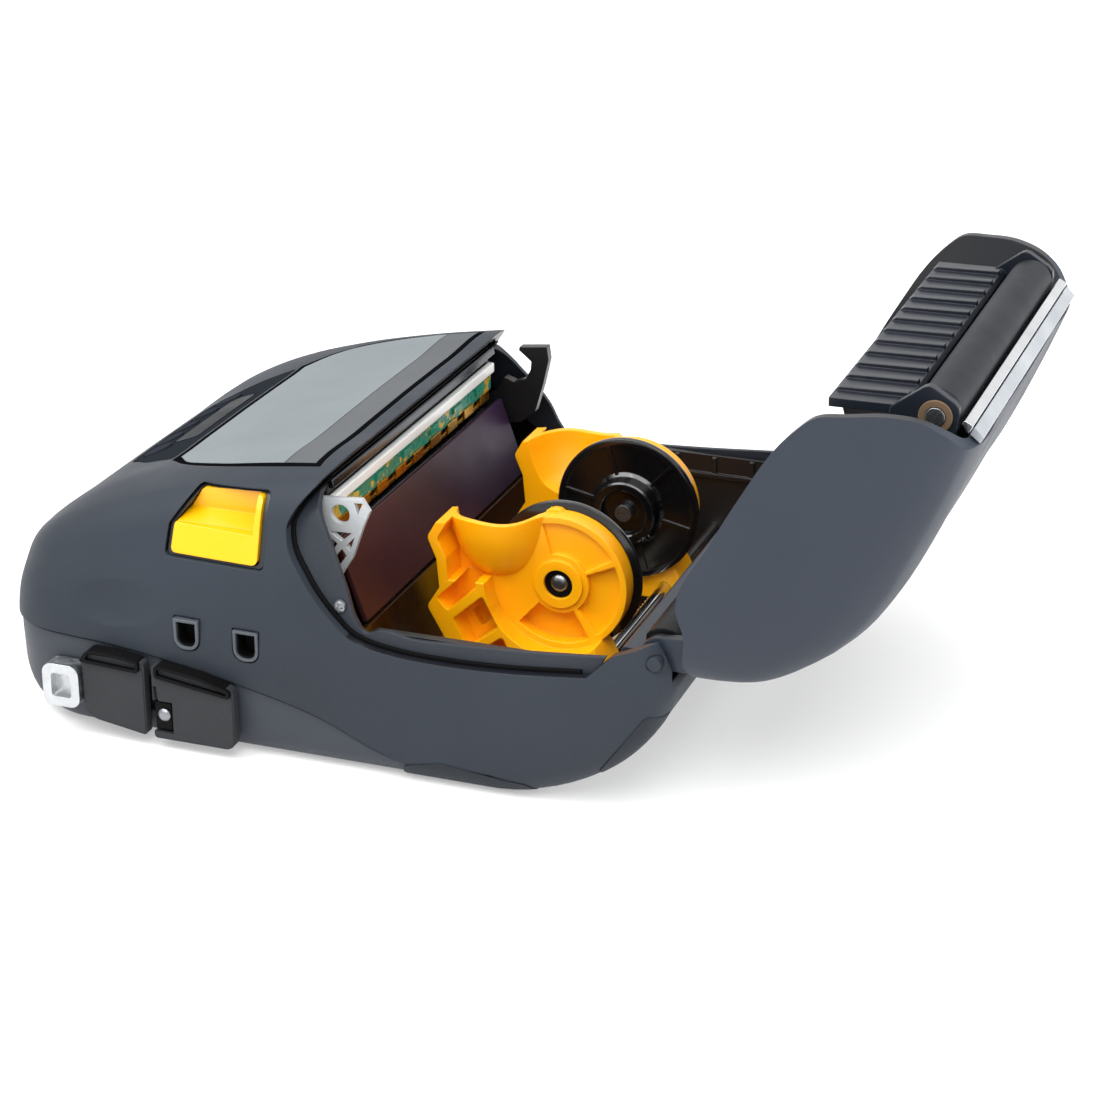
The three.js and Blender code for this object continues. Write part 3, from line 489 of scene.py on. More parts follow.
# Lighter grey than the body, with strong paler edges: painted highlight on the lips of the belt slots.
SLOT_RIM_LIT = plastic("slot_rim_painted_highlight", "#3f444b", 0.45, vary=0.08, edge_wear_and_highlight=0.5).mat
FLANGE = plastic("flange_grey", "#282c33", 0.42, vary=0.08, edge_wear_and_highlight=0.6, specular=0.25, round_edge=0.0006).mat
TUB = plastic("tub_dark", "#20130a", 0.18, vary=0.2, depth=1e-5, tone="#3b210c", coat=0.3).mat
guide_plastic = plastic("guide_orange", "#ffa400", 0.36, vary=0.02, edge_wear_and_highlight=0.35, depth=2e-5, tone="#ffb400")
guide_plastic.shader.inputs["Subsurface Weight"].default_value = 0.35
guide_plastic.shader.inputs["Subsurface Radius"].default_value = (1.0, 0.55, 0.08)
guide_plastic.shader.inputs["Subsurface Scale"].default_value = 0.005
GUIDE = guide_plastic.mat
RACK = plastic("rack_nylon", "#cfcabb", 0.45, vary=0.05).mat
TAN = plastic("bearing_tan", "#5f4b37", 0.5, vary=0.1).mat
ROLLER = plastic(
    "platen_rubber", "#0d1219", 0.5, specular=0.25, grain=5200, depth=1e-5, vary=0.08, edge_wear_and_highlight=0.1,
    round_edge=0.0003,
).mat
GUIDE_BLACK = plastic("paper_guide_black", "#131821", 0.34, vary=0.15, edge_wear_and_highlight=0.35).mat
RAIL = plastic("rail_grey", "#2b2f36", 0.42, vary=0.08, specular=0.3).mat
BRACKET = plastic("bracket_zinc", "#a9acae", 0.34, vary=0.08, depth=2e-5, specular=0.7).mat
STEEL = metal("steel", "#8f9195", 0.32).mat
BARREL = plastic("barrel_black", "#0c0d0f", 0.45, vary=0.15, edge_wear_and_highlight=0.2, specular=0.15).mat
DARK_STEEL = metal("dark_steel", "#4d5055", 0.2).mat
CHROME = metal("chrome_bar", "#e4e6e8", 0.12).mat
SATIN = metal("strap_alloy", "#c2c4c6", 0.36, (700, 700, 700), 1e-5).mat
GOLD = metal("contact_gold", "#c9962e", 0.28, (60, 3000, 3000)).mat
CERAMIC = plastic("ceramic", "#e6e8e6", 0.22, vary=0.03, edge_wear_and_highlight=0.0, depth=5e-6).mat


def board_material():
    """Solder-resist green with copper runs under it and small pads."""
    t = Tree("head_board")
    brick = t.add("ShaderNodeTexBrick")
    brick.inputs["Scale"].default_value = 420
    brick.inputs["Mortar Size"].default_value = 0.12
    mapping = t.add("ShaderNodeMapping")
    mapping.inputs["Rotation"].default_value = (math.radians(90), 0, math.radians(90))
    t.link(t.place, mapping.inputs["Vector"])
    t.link(mapping.outputs["Vector"], brick.inputs["Vector"])
    runs = t.mix(brick.outputs["Fac"], rgb("#0a4a3e"), rgb("#22816b"))
    patch = t.spread(t.noise(220, 2), 0.0, 1.0, 0.56, 0.6)
    t.link(t.mix(patch, runs, rgb("#c9a640")), t.shader.inputs["Base Color"])
    t.link(t.spread(t.noise(400, 2), 0.2, 0.4), t.shader.inputs["Roughness"])
    t.link(t.bump(brick.outputs["Fac"], 0.4, 3e-5), t.shader.inputs["Normal"])
    return t.mat


def film_material():
    """Dark glossy label guide: brown at one end of its width, violet at the other."""
    t = Tree("film_plate")
    split = t.add("ShaderNodeSeparateXYZ")
    t.link(t.place, split.inputs[0])
    across = t.spread(split.outputs["Y"], 0.0, 1.0, -0.06, 0.06)
    cloud = t.spread(t.noise(18, 3), 0.0, 1.0)
    tint = t.mix(across, rgb("#43201c"), rgb("#34233f"))
    t.link(t.mix(cloud, tint, rgb("#1f1722")), t.shader.inputs["Base Color"])
    t.link(t.spread(t.noise(40, 4, 0.7), 0.32, 0.46), t.shader.inputs["Roughness"])
    t.link(t.bump(t.noise(1400, 2), 0.3, 1e-5), t.shader.inputs["Normal"])
    t.shader.inputs["Specular IOR Level"].default_value = 0.22
    return t.mat


def clear_material():
    """Frosted clear strip."""
    t = Tree("clear_strip")
    frost = t.spread(t.noise(50, 3), 0.0, 1.0)
    t.link(t.mix(frost, rgb("#a9aeb4"), rgb("#bcc1c6")), t.shader.inputs["Base Color"])
    t.link(t.spread(t.noise(300, 3), 0.1, 0.24), t.shader.inputs["Roughness"])
    t.link(t.bump(t.noise(900, 2), 0.3, 1e-5), t.shader.inputs["Normal"])
    t.shader.inputs["Transmission Weight"].default_value = 0.35
    t.shader.inputs["IOR"].default_value = 1.49
    return t.mat


BOARD = board_material()
FILM = film_material()
CLEAR = clear_material()


# ------------------------------------------------------------------ placing finished pieces
SWING = (
    Matrix.Translation((HINGE_X, 0, HINGE_Z))
    @ Matrix.Rotation(math.radians(OPEN_ANGLE), 4, "Y")
    @ Matrix.Translation((-HINGE_X, 0, -HINGE_Z))
)
METRES_PER_MM = 0.001
SHARP_ANGLE = math.radians(32)
CORE_FRONT, CORE_REAR, CORE_HEIGHT = -60, 45, 40  # line along the middle of the hollow


def finish(ob, name, material, body, stands_for, opened_cover=False, inside=None):
    """Turns a working solid into a piece in metres that rides on a body; the inside material, a darker
    painted shade, goes on the faces that look towards the core line."""
    mesh = ob.data.copy()
    if opened_cover:
        mesh.transform(SWING)
    mesh.transform(Matrix.Scale(METRES_PER_MM, 4))
    mesh.name = name
    mesh.materials.clear()
    mesh.materials.append(material)
    mesh.polygons.foreach_set("material_index", [0] * len(mesh.polygons))
    if inside:
        mesh.materials.append(inside)
        middle = Vector((0, 0, CORE_HEIGHT))
        for face, old in zip(mesh.polygons, ob.data.polygons):
            middle.x = min(max(old.center.x, CORE_FRONT), CORE_REAR)
            face.material_index = int((old.center - middle).dot(old.normal) < 0)
    mesh.polygons.foreach_set("use_smooth", [True] * len(mesh.polygons))
    mesh.set_sharp_from_angle(angle=SHARP_ANGLE)
    piece = bpy.data.objects.new(name, mesh)
    scene.collection.objects.link(piece)
    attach(piece, body)
    if stands_for:
        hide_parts(*([stands_for] if isinstance(stands_for, str) else stands_for))


def finish_both(ob, name, material, body, stands_for):
    """The near piece, then its mirror image; "near" in the texts becomes "far"."""
    finish(ob, name, material, body, stands_for)
    far = stands_for.replace("near", "far") if stands_for else stands_for
    finish(mirrored(ob), name.replace("near", "far"), material, body.replace("near", "far"), far)


# ------------------------------------------------------------------ shell split lines, as in the CAD
RIM_POINTS = [
    (-23.5, 76), (-28.6, 69), (-30, 65.5), (-29.4, 61.5), (-23.5, 53), (-14, 43), (-10.4, 40), (-5.5, 38),
    (2, 36.7), (18, 36), (34, 36.6),
]
HOUSING_OPENING = [(-20, 120), (-21, 79)] + curve(RIM_POINTS + [(56.2, 38.7)]) + rounded([
    (20, 36), (56.6, 38.8, 0.8), (63.2, 45.4, 3), (74, 49.2, 4), (78, 48.6, 3), (77.8, 38.5), (79.2, 35),
    (95, 33), (95, 120),
], 6)[1:]
COVER_EDGE = [(-17, 120)] + curve([
    (-17, 77), (-19.2, 71), (-19.6, 65.5), (-17.4, 57.5), (-12.6, 49.4), (-8, 43.2), (-2.4, 41), (4, 39.6),
    (20, 38.9), (36, 39.2), (56, 40.9), (62.4, 46.8), (66.8, 48.8), (70.4, 50.4), (73, 52.5), (90, 60),
]) + [(100, 120)]
PAN_SEAM = curve([
    (-140, 27.5), (-75, 26), (-42, 20.5), (-18, 14.2), (-4, 8), (6, 4.4), (34, 4.4), (44, -4),
]) + [(-140, -4)]
LATCH_WINDOW = [
    (-65.6, 53, 1.5), (-35.2, 53.4, 1.5), (-36.6, 72.6, 1.5), (-59.6, 70.4, 2), (-65.6, 61, 2),
]
EDGE_SHARE = 1.35  # how much further a corner moves than an edge
KEY_ROW_X, KEY_RADIUS, KEY_SPACING, KEY_CLEARANCE = -98.6, 3.9, 11.4, 0.4
D_SLOTS = [(-57, 33.6), (-39.4, 32.8)]
PORT_BOX = (-86.2, -44, 8.5, 19.4)
POST_HOLE = (-96.8, -91.4, 11, 17.5)
SIDE_NEAR, SIDE_FAR = (-90, -72), (72, 90)


def side_window(window, reach):
    """Box through a side wall; the window is (x0, x1, z0, z1) and the reach is (y0, y1)."""
    x0, x1, z0, z1 = window
    return box(x0, x1, *reach, z0, z1)


def grown(points, amount):
    """Outline scaled about its middle, so that each edge moves out by roughly the amount."""
    a0 = sum(p[0] for p in points) / len(points)
    b0 = sum(p[1] for p in points) / len(points)
    reach = max(math.hypot(p[0] - a0, p[1] - b0) for p in points)
    k = 1 + amount / reach * EDGE_SHARE
    return [(a0 + (a - a0) * k, b0 + (b - b0) * k, r) for a, b, r in points]


def panel_outline(shrink):
    """Face panel on the top, drawn inside its recess by the shrink."""
    half = curve([
        (-80.6 + shrink, 43 - shrink), (-72, 51.4 - shrink), (-60, 56.8 - shrink), (-44, 59.6 - shrink),
        (-26.6 - shrink, 61 - shrink),
    ])
    return half + [(x, -y) for x, y in reversed(half)]


def bezel_outline(shrink):
    """Keypad on the front slope."""
    r = 9 - shrink
    return rounded([
        (-104.5 + shrink, -24 + shrink, r), (-92, -37 + shrink, 12), (-81.4 - shrink, -41.6 + shrink, 1),
        (-81.4 - shrink, 41.6 - shrink, 1), (-92, 37 - shrink, 12), (-104.5 + shrink, 24 - shrink, r),
    ])


def lens_outline(shrink):
    """Display window in the keypad."""
    return rounded([
        (-92.6 + shrink, -20 + shrink, 2), (-84.4 - shrink, -20 + shrink, 2),
        (-84.4 - shrink, 20 - shrink, 2), (-92.6 + shrink, 20 - shrink, 2),
    ])


def d_slot(x, z, width, height):
    """Slot with a straight upper edge and two round lower corners."""
    r = width * 0.42
    return rounded([
        (x - width / 2, z + height / 2), (x - width / 2, z - height / 2, r),
        (x + width / 2, z - height / 2, r), (x + width / 2, z + height / 2),
    ])


def grip_recess():
    """Shallow finger dish in the near side."""
    bm = bmesh.new()
    bmesh.ops.create_uvsphere(bm, u_segments=72, v_segments=48, radius=1)
    mesh = bpy.data.meshes.new("solid")
    bm.to_mesh(mesh)
    bm.free()
    centre, lean, radii = (-81, -88.6, 43), -0.1, (27, 8, 15)
    place = Matrix.Translation(centre) @ Matrix.Rotation(lean, 4, "X")
    mesh.transform(place @ Matrix.Diagonal((*radii, 1)))
    return keep(mesh)


KEY_BOW = 0.7  # the row of keys bends towards the rear at its ends
key_centres = [(KEY_ROW_X + i * i * KEY_BOW, i * KEY_SPACING) for i in (-2, -1, 0, 1, 2)]
key_holes = [rod_z(x, y, KEY_RADIUS + KEY_CLEARANCE, 40, BEYOND, 48) for x, y in key_centres]
shell = layer(0, WALL)

# ------------------------------------------------------------------ lower pan and upper housing
PAN_STEP = 0.8  # the pan sits this far inside the housing's outer form
PANEL_DEPTH, RECESS_DEPTH = 1.05, 1.35
pan = meet(cut(skin(PAN_STEP, 0), skin(PAN_STEP + WALL, WALL)), through(PAN_SEAM))
pan = cut(
    pan,
    side_window(PORT_BOX, SIDE_NEAR),
    side_window(POST_HOLE, SIDE_NEAR),
    side_window(POST_HOLE, SIDE_FAR),
)
finish(pan, "pan_shell", BODY_LOW_PAINTED_LIGHTER, "base", "base_pan")

hinge_gap = box(58, 90, -78, 78, 38.5, 60)
housing = cut(
    shell,
    through([(x + 0.2, z + 0.6) for x, z in PAN_SEAM]),
    through(HOUSING_OPENING),
    cut(meet(skin_at(-1), column(panel_outline(0), 55)), skin_at(RECESS_DEPTH)),
    cut(meet(skin_at(-1), column(bezel_outline(0), 40)), skin_at(RECESS_DEPTH)),
    prism_y(rounded(LATCH_WINDOW), -BEYOND, -55),
    *[prism_y(d_slot(x, z, 8, 9.4), -90, -78) for x, z in D_SLOTS],
    *key_holes,
    hinge_gap,
    grip_recess(),
    rod_y(HINGE_X, HINGE_Z, 2.03, -90, 90),
)
finish(housing, "housing_shell", BODY, "base", "main_housing", inside=INSIDE_SHADE)

# Darker pieces let into the near and far lower edges.
pad_rear = through(rounded([(62, 15, 2), (58.5, 10, 1.5), (64, 9, 1.5), (79, 26, 2), (73, 30.5, 2)]))
pad_low = through(rounded([(6, -3), (44, -3), (40, 4.6, 3), (16, 7.4, 3), (4, 4.4, 3)]))
pads = meet(layer(-0.2, 0.7), join(pad_rear, pad_low))
pads = cut(pads, box(-200, 200, -74, 74, -10, 60), through(HOUSING_OPENING))
finish(pads, "edge_pads", PAD, "base", ())

# ------------------------------------------------------------------ panel, keypad, keys
STRIP_X, STRIP_HALF_GAP = -38.2, 0.15
ahead = box(-120, STRIP_X - STRIP_HALF_GAP, -90, 90, 40, BEYOND)
behind = box(STRIP_X + STRIP_HALF_GAP, 0, -90, 90, 40, BEYOND)
inner_panel = meet(layer(-0.1, PANEL_DEPTH), column(panel_outline(2.0), 55))
finish(meet(inner_panel, ahead), "panel_main", PANEL, "base", "top_panel")
finish(meet(inner_panel, behind), "panel_front_strip", PANEL_STRIP, "base", ())
line = cut(meet(layer(0.0, 1.0), column(panel_outline(0.3), 55)), prism_z(panel_outline(2.0), 50, 105))
finish(line, "panel_line", PANEL_LINE, "base", ())

bezel = meet(layer(0.05, PANEL_DEPTH), column(bezel_outline(0.3), 40))
bezel = cut(bezel, column(lens_outline(0), 45), *key_holes)
finish(bezel, "keypad_film", KEYPAD, "base", "keypad_bezel")
lens = meet(layer(-0.05, PANEL_DEPTH), column(lens_outline(0.3), 45))
finish(lens, "display_window", LENS, "base", "display_lens")
for name, (x, y) in zip(("power", "left", "select", "right", "feed"), key_centres):
    cap = meet(layer(-0.45, 1.9), rod_z(x, y, KEY_RADIUS, 40, BEYOND))
    finish(cap, "keycap_" + name, KEYCAP, f"{name}_key", f"key_{name}")

# ------------------------------------------------------------------ latch button and its frame
frame_ring = cut(
    meet(layer(0.9, 4.4), prism_y(rounded(grown(LATCH_WINDOW, -0.3)), -BEYOND, -61)),
    prism_y(rounded(grown(LATCH_WINDOW, -1.4)), -BEYOND, -50),
)
finish(frame_ring, "latch_surround", FRAME_DARK, "base", "latch_frame")
# The thumb pocket narrows towards its bottom.
pocket = join(prism_y([(-70, 61.6), (-40, 61.6), (-40.4, 85), (-70, 85)], -90, -73), loft([
    [(-40, -73.2, 61.6), (-40.4, -73.2, 85), (-70, -73.2, 85), (-70, -73.2, 61.6)],
    [(-40.6, -66.6, 63.8), (-41, -66.6, 85), (-70, -66.6, 85), (-70, -66.6, 63.8)],
]))
latch_block = prism_y(rounded(grown(LATCH_WINDOW, -1.8)), -BEYOND, -50)
latch = cut(meet(skin_at(0.2), latch_block), pocket)
latch = meet(latch, box(-80, -20, -BEYOND, -63.6, 50, 80))
finish(latch, "latch_cap", YELLOW, "latch", "latch_button")

# ------------------------------------------------------------------ inside flanges of the opening
FLANGE_BAND = curve([
    (-24.8, 72.4), (-28.8, 73), (-33, 68.5), (-34.2, 64), (-33, 60), (-27, 51), (-16, 40.6), (-6, 35),
    (2, 33), (18, 32.4), (56, 35),
]) + [(60.6, 43.4)] + curve([
    (60.5, 43.39), (38.3, 41.6), (17.4, 40.5), (6.8, 40.2), (-1.7, 41.4), (-6.4, 40.2), (-9, 43.4),
    (-12, 50.4), (-16, 57.4), (-20.8, 64.6), (-24, 70), (-24.7, 72.3),
])[1:-1]
flange = meet(layer(WALL + 1.1, 5.1), prism_y(FLANGE_BAND, -BEYOND, -60))
finish_both(flange, "flange_near", FLANGE, "base", "side_flange_near")
# Near-black strip just inside the rim of the opening: painted shadow for the gap between the housing's rim
# and the flange.
rim_edge = np.array(curve(RIM_POINTS + [(54.4, 38.5)]))
along = np.gradient(rim_edge, axis=0)
inward = np.stack([-along[:, 1], along[:, 0]], axis=1) / np.linalg.norm(along, axis=1)[:, None]
SHADOW_BELOW_RIM, SHADOW_ABOVE_RIM = 1.6, 0.9
gap_shadow_line = [tuple(p) for p in rim_edge - SHADOW_BELOW_RIM * inward]
gap_shadow_line += [tuple(p) for p in (rim_edge + SHADOW_ABOVE_RIM * inward)[::-1]]
gap_shadow = meet(layer(WALL + 0.3, WALL + 1.25), prism_y(gap_shadow_line, -BEYOND, -60))
finish_both(gap_shadow, "rim_seal_near", BLACK_RUBBER_AND_SHADE, "base", ())
SCREW_X, SCREW_Z, CROSS_REACH, CROSS_HALF_WIDTH = -13.6, 46.4, 1.2, 0.25
seat = min(v.co.y for v in meet(flange, rod_y(SCREW_X, SCREW_Z, 1.6, -BEYOND, -60)).data.vertices)
head_profile = [(0, -1.1), (0.9, -1.1), (1.6, -0.7), (1.9, -0.1), (1.9, 0.6), (0, 0.6)]
screw = cut(turned_y(SCREW_X, SCREW_Z, [(r, seat + y) for r, y in head_profile], 48), *[
    box(SCREW_X - a, SCREW_X + a, seat - 2, seat - 0.6, SCREW_Z - b, SCREW_Z + b)
    for a, b in ((CROSS_REACH, CROSS_HALF_WIDTH), (CROSS_HALF_WIDTH, CROSS_REACH))
])
finish(screw, "flange_screw_head", STEEL, "base", ())

# ------------------------------------------------------------------ strap posts and port doors
loop_outline = rounded([(-99.2, 8.6, 3), (-88.1, 8.6, 3), (-88.1, 21.2, 3), (-99.2, 21.2, 3)])
loop_hole = rounded([(-96.6, 11.4, 1), (-90.6, 11.4, 1), (-90.6, 18.4, 1), (-96.6, 18.4, 1)])
post = join(
    cut(prism_y(loop_outline, -89.6, -84.4), prism_y(loop_hole, -92, -86.6)),
    box(-96.6, -91.6, -84.6, -78.5, 11.2, 17.3),
)
finish_both(post, "strap_loop_near", SATIN, "base", "strap_post_near")

# Each belt slot is closed behind the wall by a near-black cup: painted shade inside the slot.
for i, (x, z) in enumerate(D_SLOTS):
    slot_shade = cut(
        prism_y(d_slot(x, z, 5.5, 6.9), -83.9, -78.72),
        prism_y(d_slot(x, z, 4.8, 6.2), -90, -79.3),
    )
    finish(slot_shade, f"belt_slot_shade_{i + 1}", BLACK_RUBBER_AND_SHADE, "base", ())

# Each door is a plate with a raised face, and a dished finger grip along its upper edge; the grip is
# near-black, painted shade for the dark channel under the housing's overhang.
PLATE, RAISED_FACE, GRIP_BAR, GRIP_DISH = (-87.9, -85.1), (-88.2, -87), (-89.2, -84.7), (-91, -87.4)
left_door = join(
    prism_y(rounded([(-87.6, 6.2, 5), (-68.6, 3.2, 1), (-68.6, 25, 1), (-87.6, 25, 1.5)]), *PLATE),
    prism_y(rounded([(-87.2, 6.6, 4.6), (-69, 3.7, 0.8), (-69, 22.6, 1), (-87.2, 23.4, 1)]), *RAISED_FACE),
)
finish(left_door, "door_left_plate", RUBBER, "door_left", "port_door_left")
left_grip = cut(
    prism_y(rounded([
        (-87.8, 22.9, 0.4), (-69.8, 22.0, 0.8), (-69.8, 25.4, 1), (-78, 26.6, 6), (-85.4, 26.6, 2.5),
    ]), *GRIP_BAR),
    prism_y(rounded([
        (-86, 23.7, 0.3), (-70.6, 22.9, 0.4), (-70.6, 24.7, 0.5), (-78, 25.8, 4), (-84.8, 25.8, 1),
    ]), *GRIP_DISH),
)
finish(left_grip, "door_left_grip", BLACK_RUBBER_AND_SHADE, "door_left", ())
right_door = cut(
    join(
        prism_y(rounded([(-66.4, 3, 1), (-42, 3, 3), (-42, 21, 2), (-66.4, 25, 1)]), *PLATE),
        prism_y(rounded([
            (-66, 3.4, 0.8), (-42.4, 3.4, 2.6), (-42.4, 18.8, 1.4), (-66, 22, 0.8),
        ]), *RAISED_FACE),
    ),
    box(-67, -60.4, -92, -80, 5, 14.4),
    prism_y([(-65.6, 14), (-64.5, 14), (-65, 18.6), (-66, 18.6)], -92, -87.2),
)
finish(right_door, "door_right_plate", RUBBER, "door_right", "port_door_right")
right_grip = cut(
    prism_y(rounded([
        (-65, 21.6, 0.8), (-42.6, 18.6, 0.8), (-42.6, 20.9, 1.4), (-52, 23.7, 6), (-65, 25.3, 1),
    ]), *GRIP_BAR),
    prism_y(rounded([
        (-64.2, 22.4, 0.4), (-43.6, 19.5, 0.3), (-43.6, 20.4, 0.3), (-52, 22.8, 4), (-64.2, 24.4, 0.4),
    ]), *GRIP_DISH),
)
finish(right_grip, "door_right_grip", BLACK_RUBBER_AND_SHADE, "door_right", ())

# ------------------------------------------------------------------ media guides, pins, core discs
DISC_X, DISC_Z, ARM_DISC_RADIUS, PIN_RADIUS, ROD_RADIUS = 31, 40.8, 19.5, 2.5, 1.8
RODS = [(20, 16.4), (42, 16.4)]
MEDIA_HALF, DISC_RADIUS = 25, 21.6
ARM_PLATE = rounded([
    (-2.6, 56.6, 1), (-4.6, 52, 2), (-2.2, 46, 2), (-1.4, 38, 1), (-5.4, 31.5, 2), (3.5, 16, 2),
    (14, 12.8, 1), (46, 12.8, 1.5), (46.6, 20, 2), (36, 40), (34, 58), (30, 61, 1), (26.4, 61.2, 1),
])
ARM_BLOCK = rounded([
    (-1.4, 40), (-1.4, 38, 1), (-5.4, 31.5, 2), (3.5, 16, 2), (14, 12.8, 1), (46, 12.8, 1.5),
    (46.6, 20, 2), (36, 40), (34, 50), (24, 43.6), (12, 40.6),
])
ARM_RIM = rounded([
    (-1.4, 58.6, 1), (-5, 52.2, 2), (-2.4, 46, 2), (-1.6, 37), (1, 37), (0.4, 46.6, 2), (-2.2, 52, 2),
    (0.8, 57.4, 1),
])
ARM_OUT, DISC_OUT, ARM_IN, BOWL_X = -40, -33.4, -MEDIA_HALF - 2.4, 12.6
CLEAR_OUT, CLEAR_IN = -60, -20  # past the arm on both sides


def corner_pocket(points, depth):
    """Pocket with four rounded corners, sunk into the arm's outer face down to the depth."""
    return prism_y(rounded([(a, b, 0.8) for a, b in points], 4), CLEAR_OUT, depth)


def ring_pocket(start, end, depth):
    """Pocket between the hub and the edge of the round face, from start to end degrees."""
    outer = circle(DISC_X, DISC_Z, 17.6, 24, start, end)
    inner = circle(DISC_X, DISC_Z, 8.6, 24, start, end)[::-1]
    return prism_y(outer + inner, CLEAR_OUT, depth)


def bowl(levels, inner):
    """Finger bowl bulging from the arm's outer face; each level is (half width, depth, height)."""
    widths, depths = (curve([(level[2], level[i]) for level in levels]) for i in (0, 1))
    rings = []
    for height in np.linspace(levels[0][2], levels[-1][2], 22):
        w, d = np.interp(height, *zip(*widths)), np.interp(height, *zip(*depths))
        rings.append([(BOWL_X + w * c, inner + d * s, height) for c, s in circle(0, 0, 1, 48, 180, 360)])
    return loft(rings)


arm_face = rod_y(DISC_X, DISC_Z, ARM_DISC_RADIUS, CLEAR_OUT, DISC_OUT, 120)
block = cut(join(prism_y(ARM_BLOCK, ARM_OUT, ARM_IN), prism_y(ARM_RIM, ARM_OUT, ARM_IN)), arm_face)
above_lip = prism_y(
    [(-12, 53)] + curve([(-3, 56.6), (6, 58), (20, 58.4), (26, 60.4), (40, 64)]) + [(40, 70), (-12, 70)],
    CLEAR_OUT, CLEAR_IN,
)
arm = cut(
    join(
        block,
        prism_y(ARM_PLATE, ARM_IN - 2.4, ARM_IN),
        rod_y(DISC_X, DISC_Z, ARM_DISC_RADIUS, DISC_OUT, ARM_IN, 120),
        rod_y(DISC_X, DISC_Z, 7, DISC_OUT - 0.8, ARM_IN, 72),
        bowl([(4, 3.4, 39), (9.6, 8.2, 42.6), (13.2, 11.2, 49.4), (15.8, 12.9, 60)], ARM_IN),
    ),
    bowl([(2.6, 3, 41.2), (8, 7.4, 44), (11.6, 10.4, 50), (14.4, 12.2, 62)], ARM_IN + 1),
    above_lip,
    corner_pocket([(-2.6, 34.4), (6.6, 43.6), (9.6, 39.4), (0.6, 30.8)], -30),
    corner_pocket([(2.2, 28.8), (11, 36.8), (15.6, 28), (6.4, 20.4)], -33),
    corner_pocket([(5.4, 29), (10.4, 33.6), (12.8, 28.8), (8, 24.4)], -30),
    corner_pocket([(8.4, 19.2), (16.8, 25.4), (19.4, 19.8), (13.6, 16.8)], -30),
    ring_pocket(228, 300, -28.9),
    ring_pocket(308, 384, -31.4),
    ring_pocket(30, 106, -32.2),
    rod_y(DISC_X, DISC_Z, PIN_RADIUS + 0.03, CLEAR_OUT, CLEAR_IN),
    rod_y(DISC_X, DISC_Z, 4.2, CLEAR_OUT, -32.8, 48),
    *[rod_y(x, z, ROD_RADIUS + 0.06, CLEAR_OUT, CLEAR_IN) for x, z in RODS],
)
finish_both(arm, "guide_arm_near", GUIDE, "guide_near", "media_guide_near")
pin = turned_y(DISC_X, DISC_Z, [
    (0.4, -34), (1.5, -34), (2.1, -33.7), (PIN_RADIUS, -33.2), (PIN_RADIUS, -21), (0.4, -21),
], 48)
collar = cut(
    rod_y(DISC_X, DISC_Z, 4.1, -33.3, -32.75),
    rod_y(DISC_X, DISC_Z, 2.62, CLEAR_OUT, CLEAR_IN),
)
finish_both(collar, "pin_collar_near", BLACK_RUBBER_AND_SHADE, "guide_near", ())
finish_both(pin, "pin_near", STEEL, "guide_near", "guide_pin_near")
bore = PIN_RADIUS + 0.06
disc = turned_y(DISC_X, DISC_Z, [
    (bore, -27), (DISC_RADIUS - 0.5, -27), (DISC_RADIUS - 0.1, -26.8), (DISC_RADIUS, -26.4),
    (DISC_RADIUS, -25.6), (DISC_RADIUS - 0.2, -25.2), (DISC_RADIUS - 0.6, -25), (19.6, -25),
    (19.3, -25.5), (11.2, -25.5), (10.6, -25), (10.2, -24.6), (9.6, -21.2), (9.1, -20.8), (7.2, -20.8),
    (6.8, -21.2), (6.4, -23.4), (bore, -23.4), (bore, -27),
], 128)
SPOKES, FIRST_SPOKE = 6, 12
SPOKE_OUTLINE = ((10.4, -0.5), (19.5, -0.5), (19.5, 0.5), (10.4, 0.5))
spokes = []
for k in range(SPOKES):
    spoke = prism_y([(DISC_X + a, DISC_Z + b) for a, b in SPOKE_OUTLINE], -25.7, -25)
    angle = math.radians(360 / SPOKES * k + FIRST_SPOKE)
    turn = Matrix.Translation((DISC_X, 0, DISC_Z)) @ Matrix.Rotation(angle, 4, "Y")
    spokes.append(moved(spoke, turn @ Matrix.Translation((-DISC_X, 0, -DISC_Z))))
disc = join(disc, *spokes)
finish_both(disc, "disc_near", BLACK_GLOSS, "disc_near", "core_disc_near")

LUG = (-76.4, -73.4)
lug_arm = prism_y([
    (HINGE_X - 4.6, HINGE_Z - 2.6), (HINGE_X + 4.4, HINGE_Z + 3), (68, 58), (62, 65), (57, 63), (61, 54.4),
], *LUG)
lug = cut(
    meet(join(lug_arm, rod_y(HINGE_X, HINGE_Z, 5.4, *LUG)), skin_at(0.4)),
    rod_y(HINGE_X, HINGE_Z, 2.06, -80, -70),
)
cover = join(meet(shell, through(COVER_EDGE)), lug, mirrored(lug))
finish(cover, "cover_skin", COVER, "cover", "cover_shell", opened_cover=True, inside=INSIDE_SHADE)

# ------------------------------------------------------------------ CAD nodes that stay, with finer edges
WELD_DISTANCE = 5e-6
FLAT_ANGLE, EDGE_ANGLE = math.radians(1.5), math.radians(26)
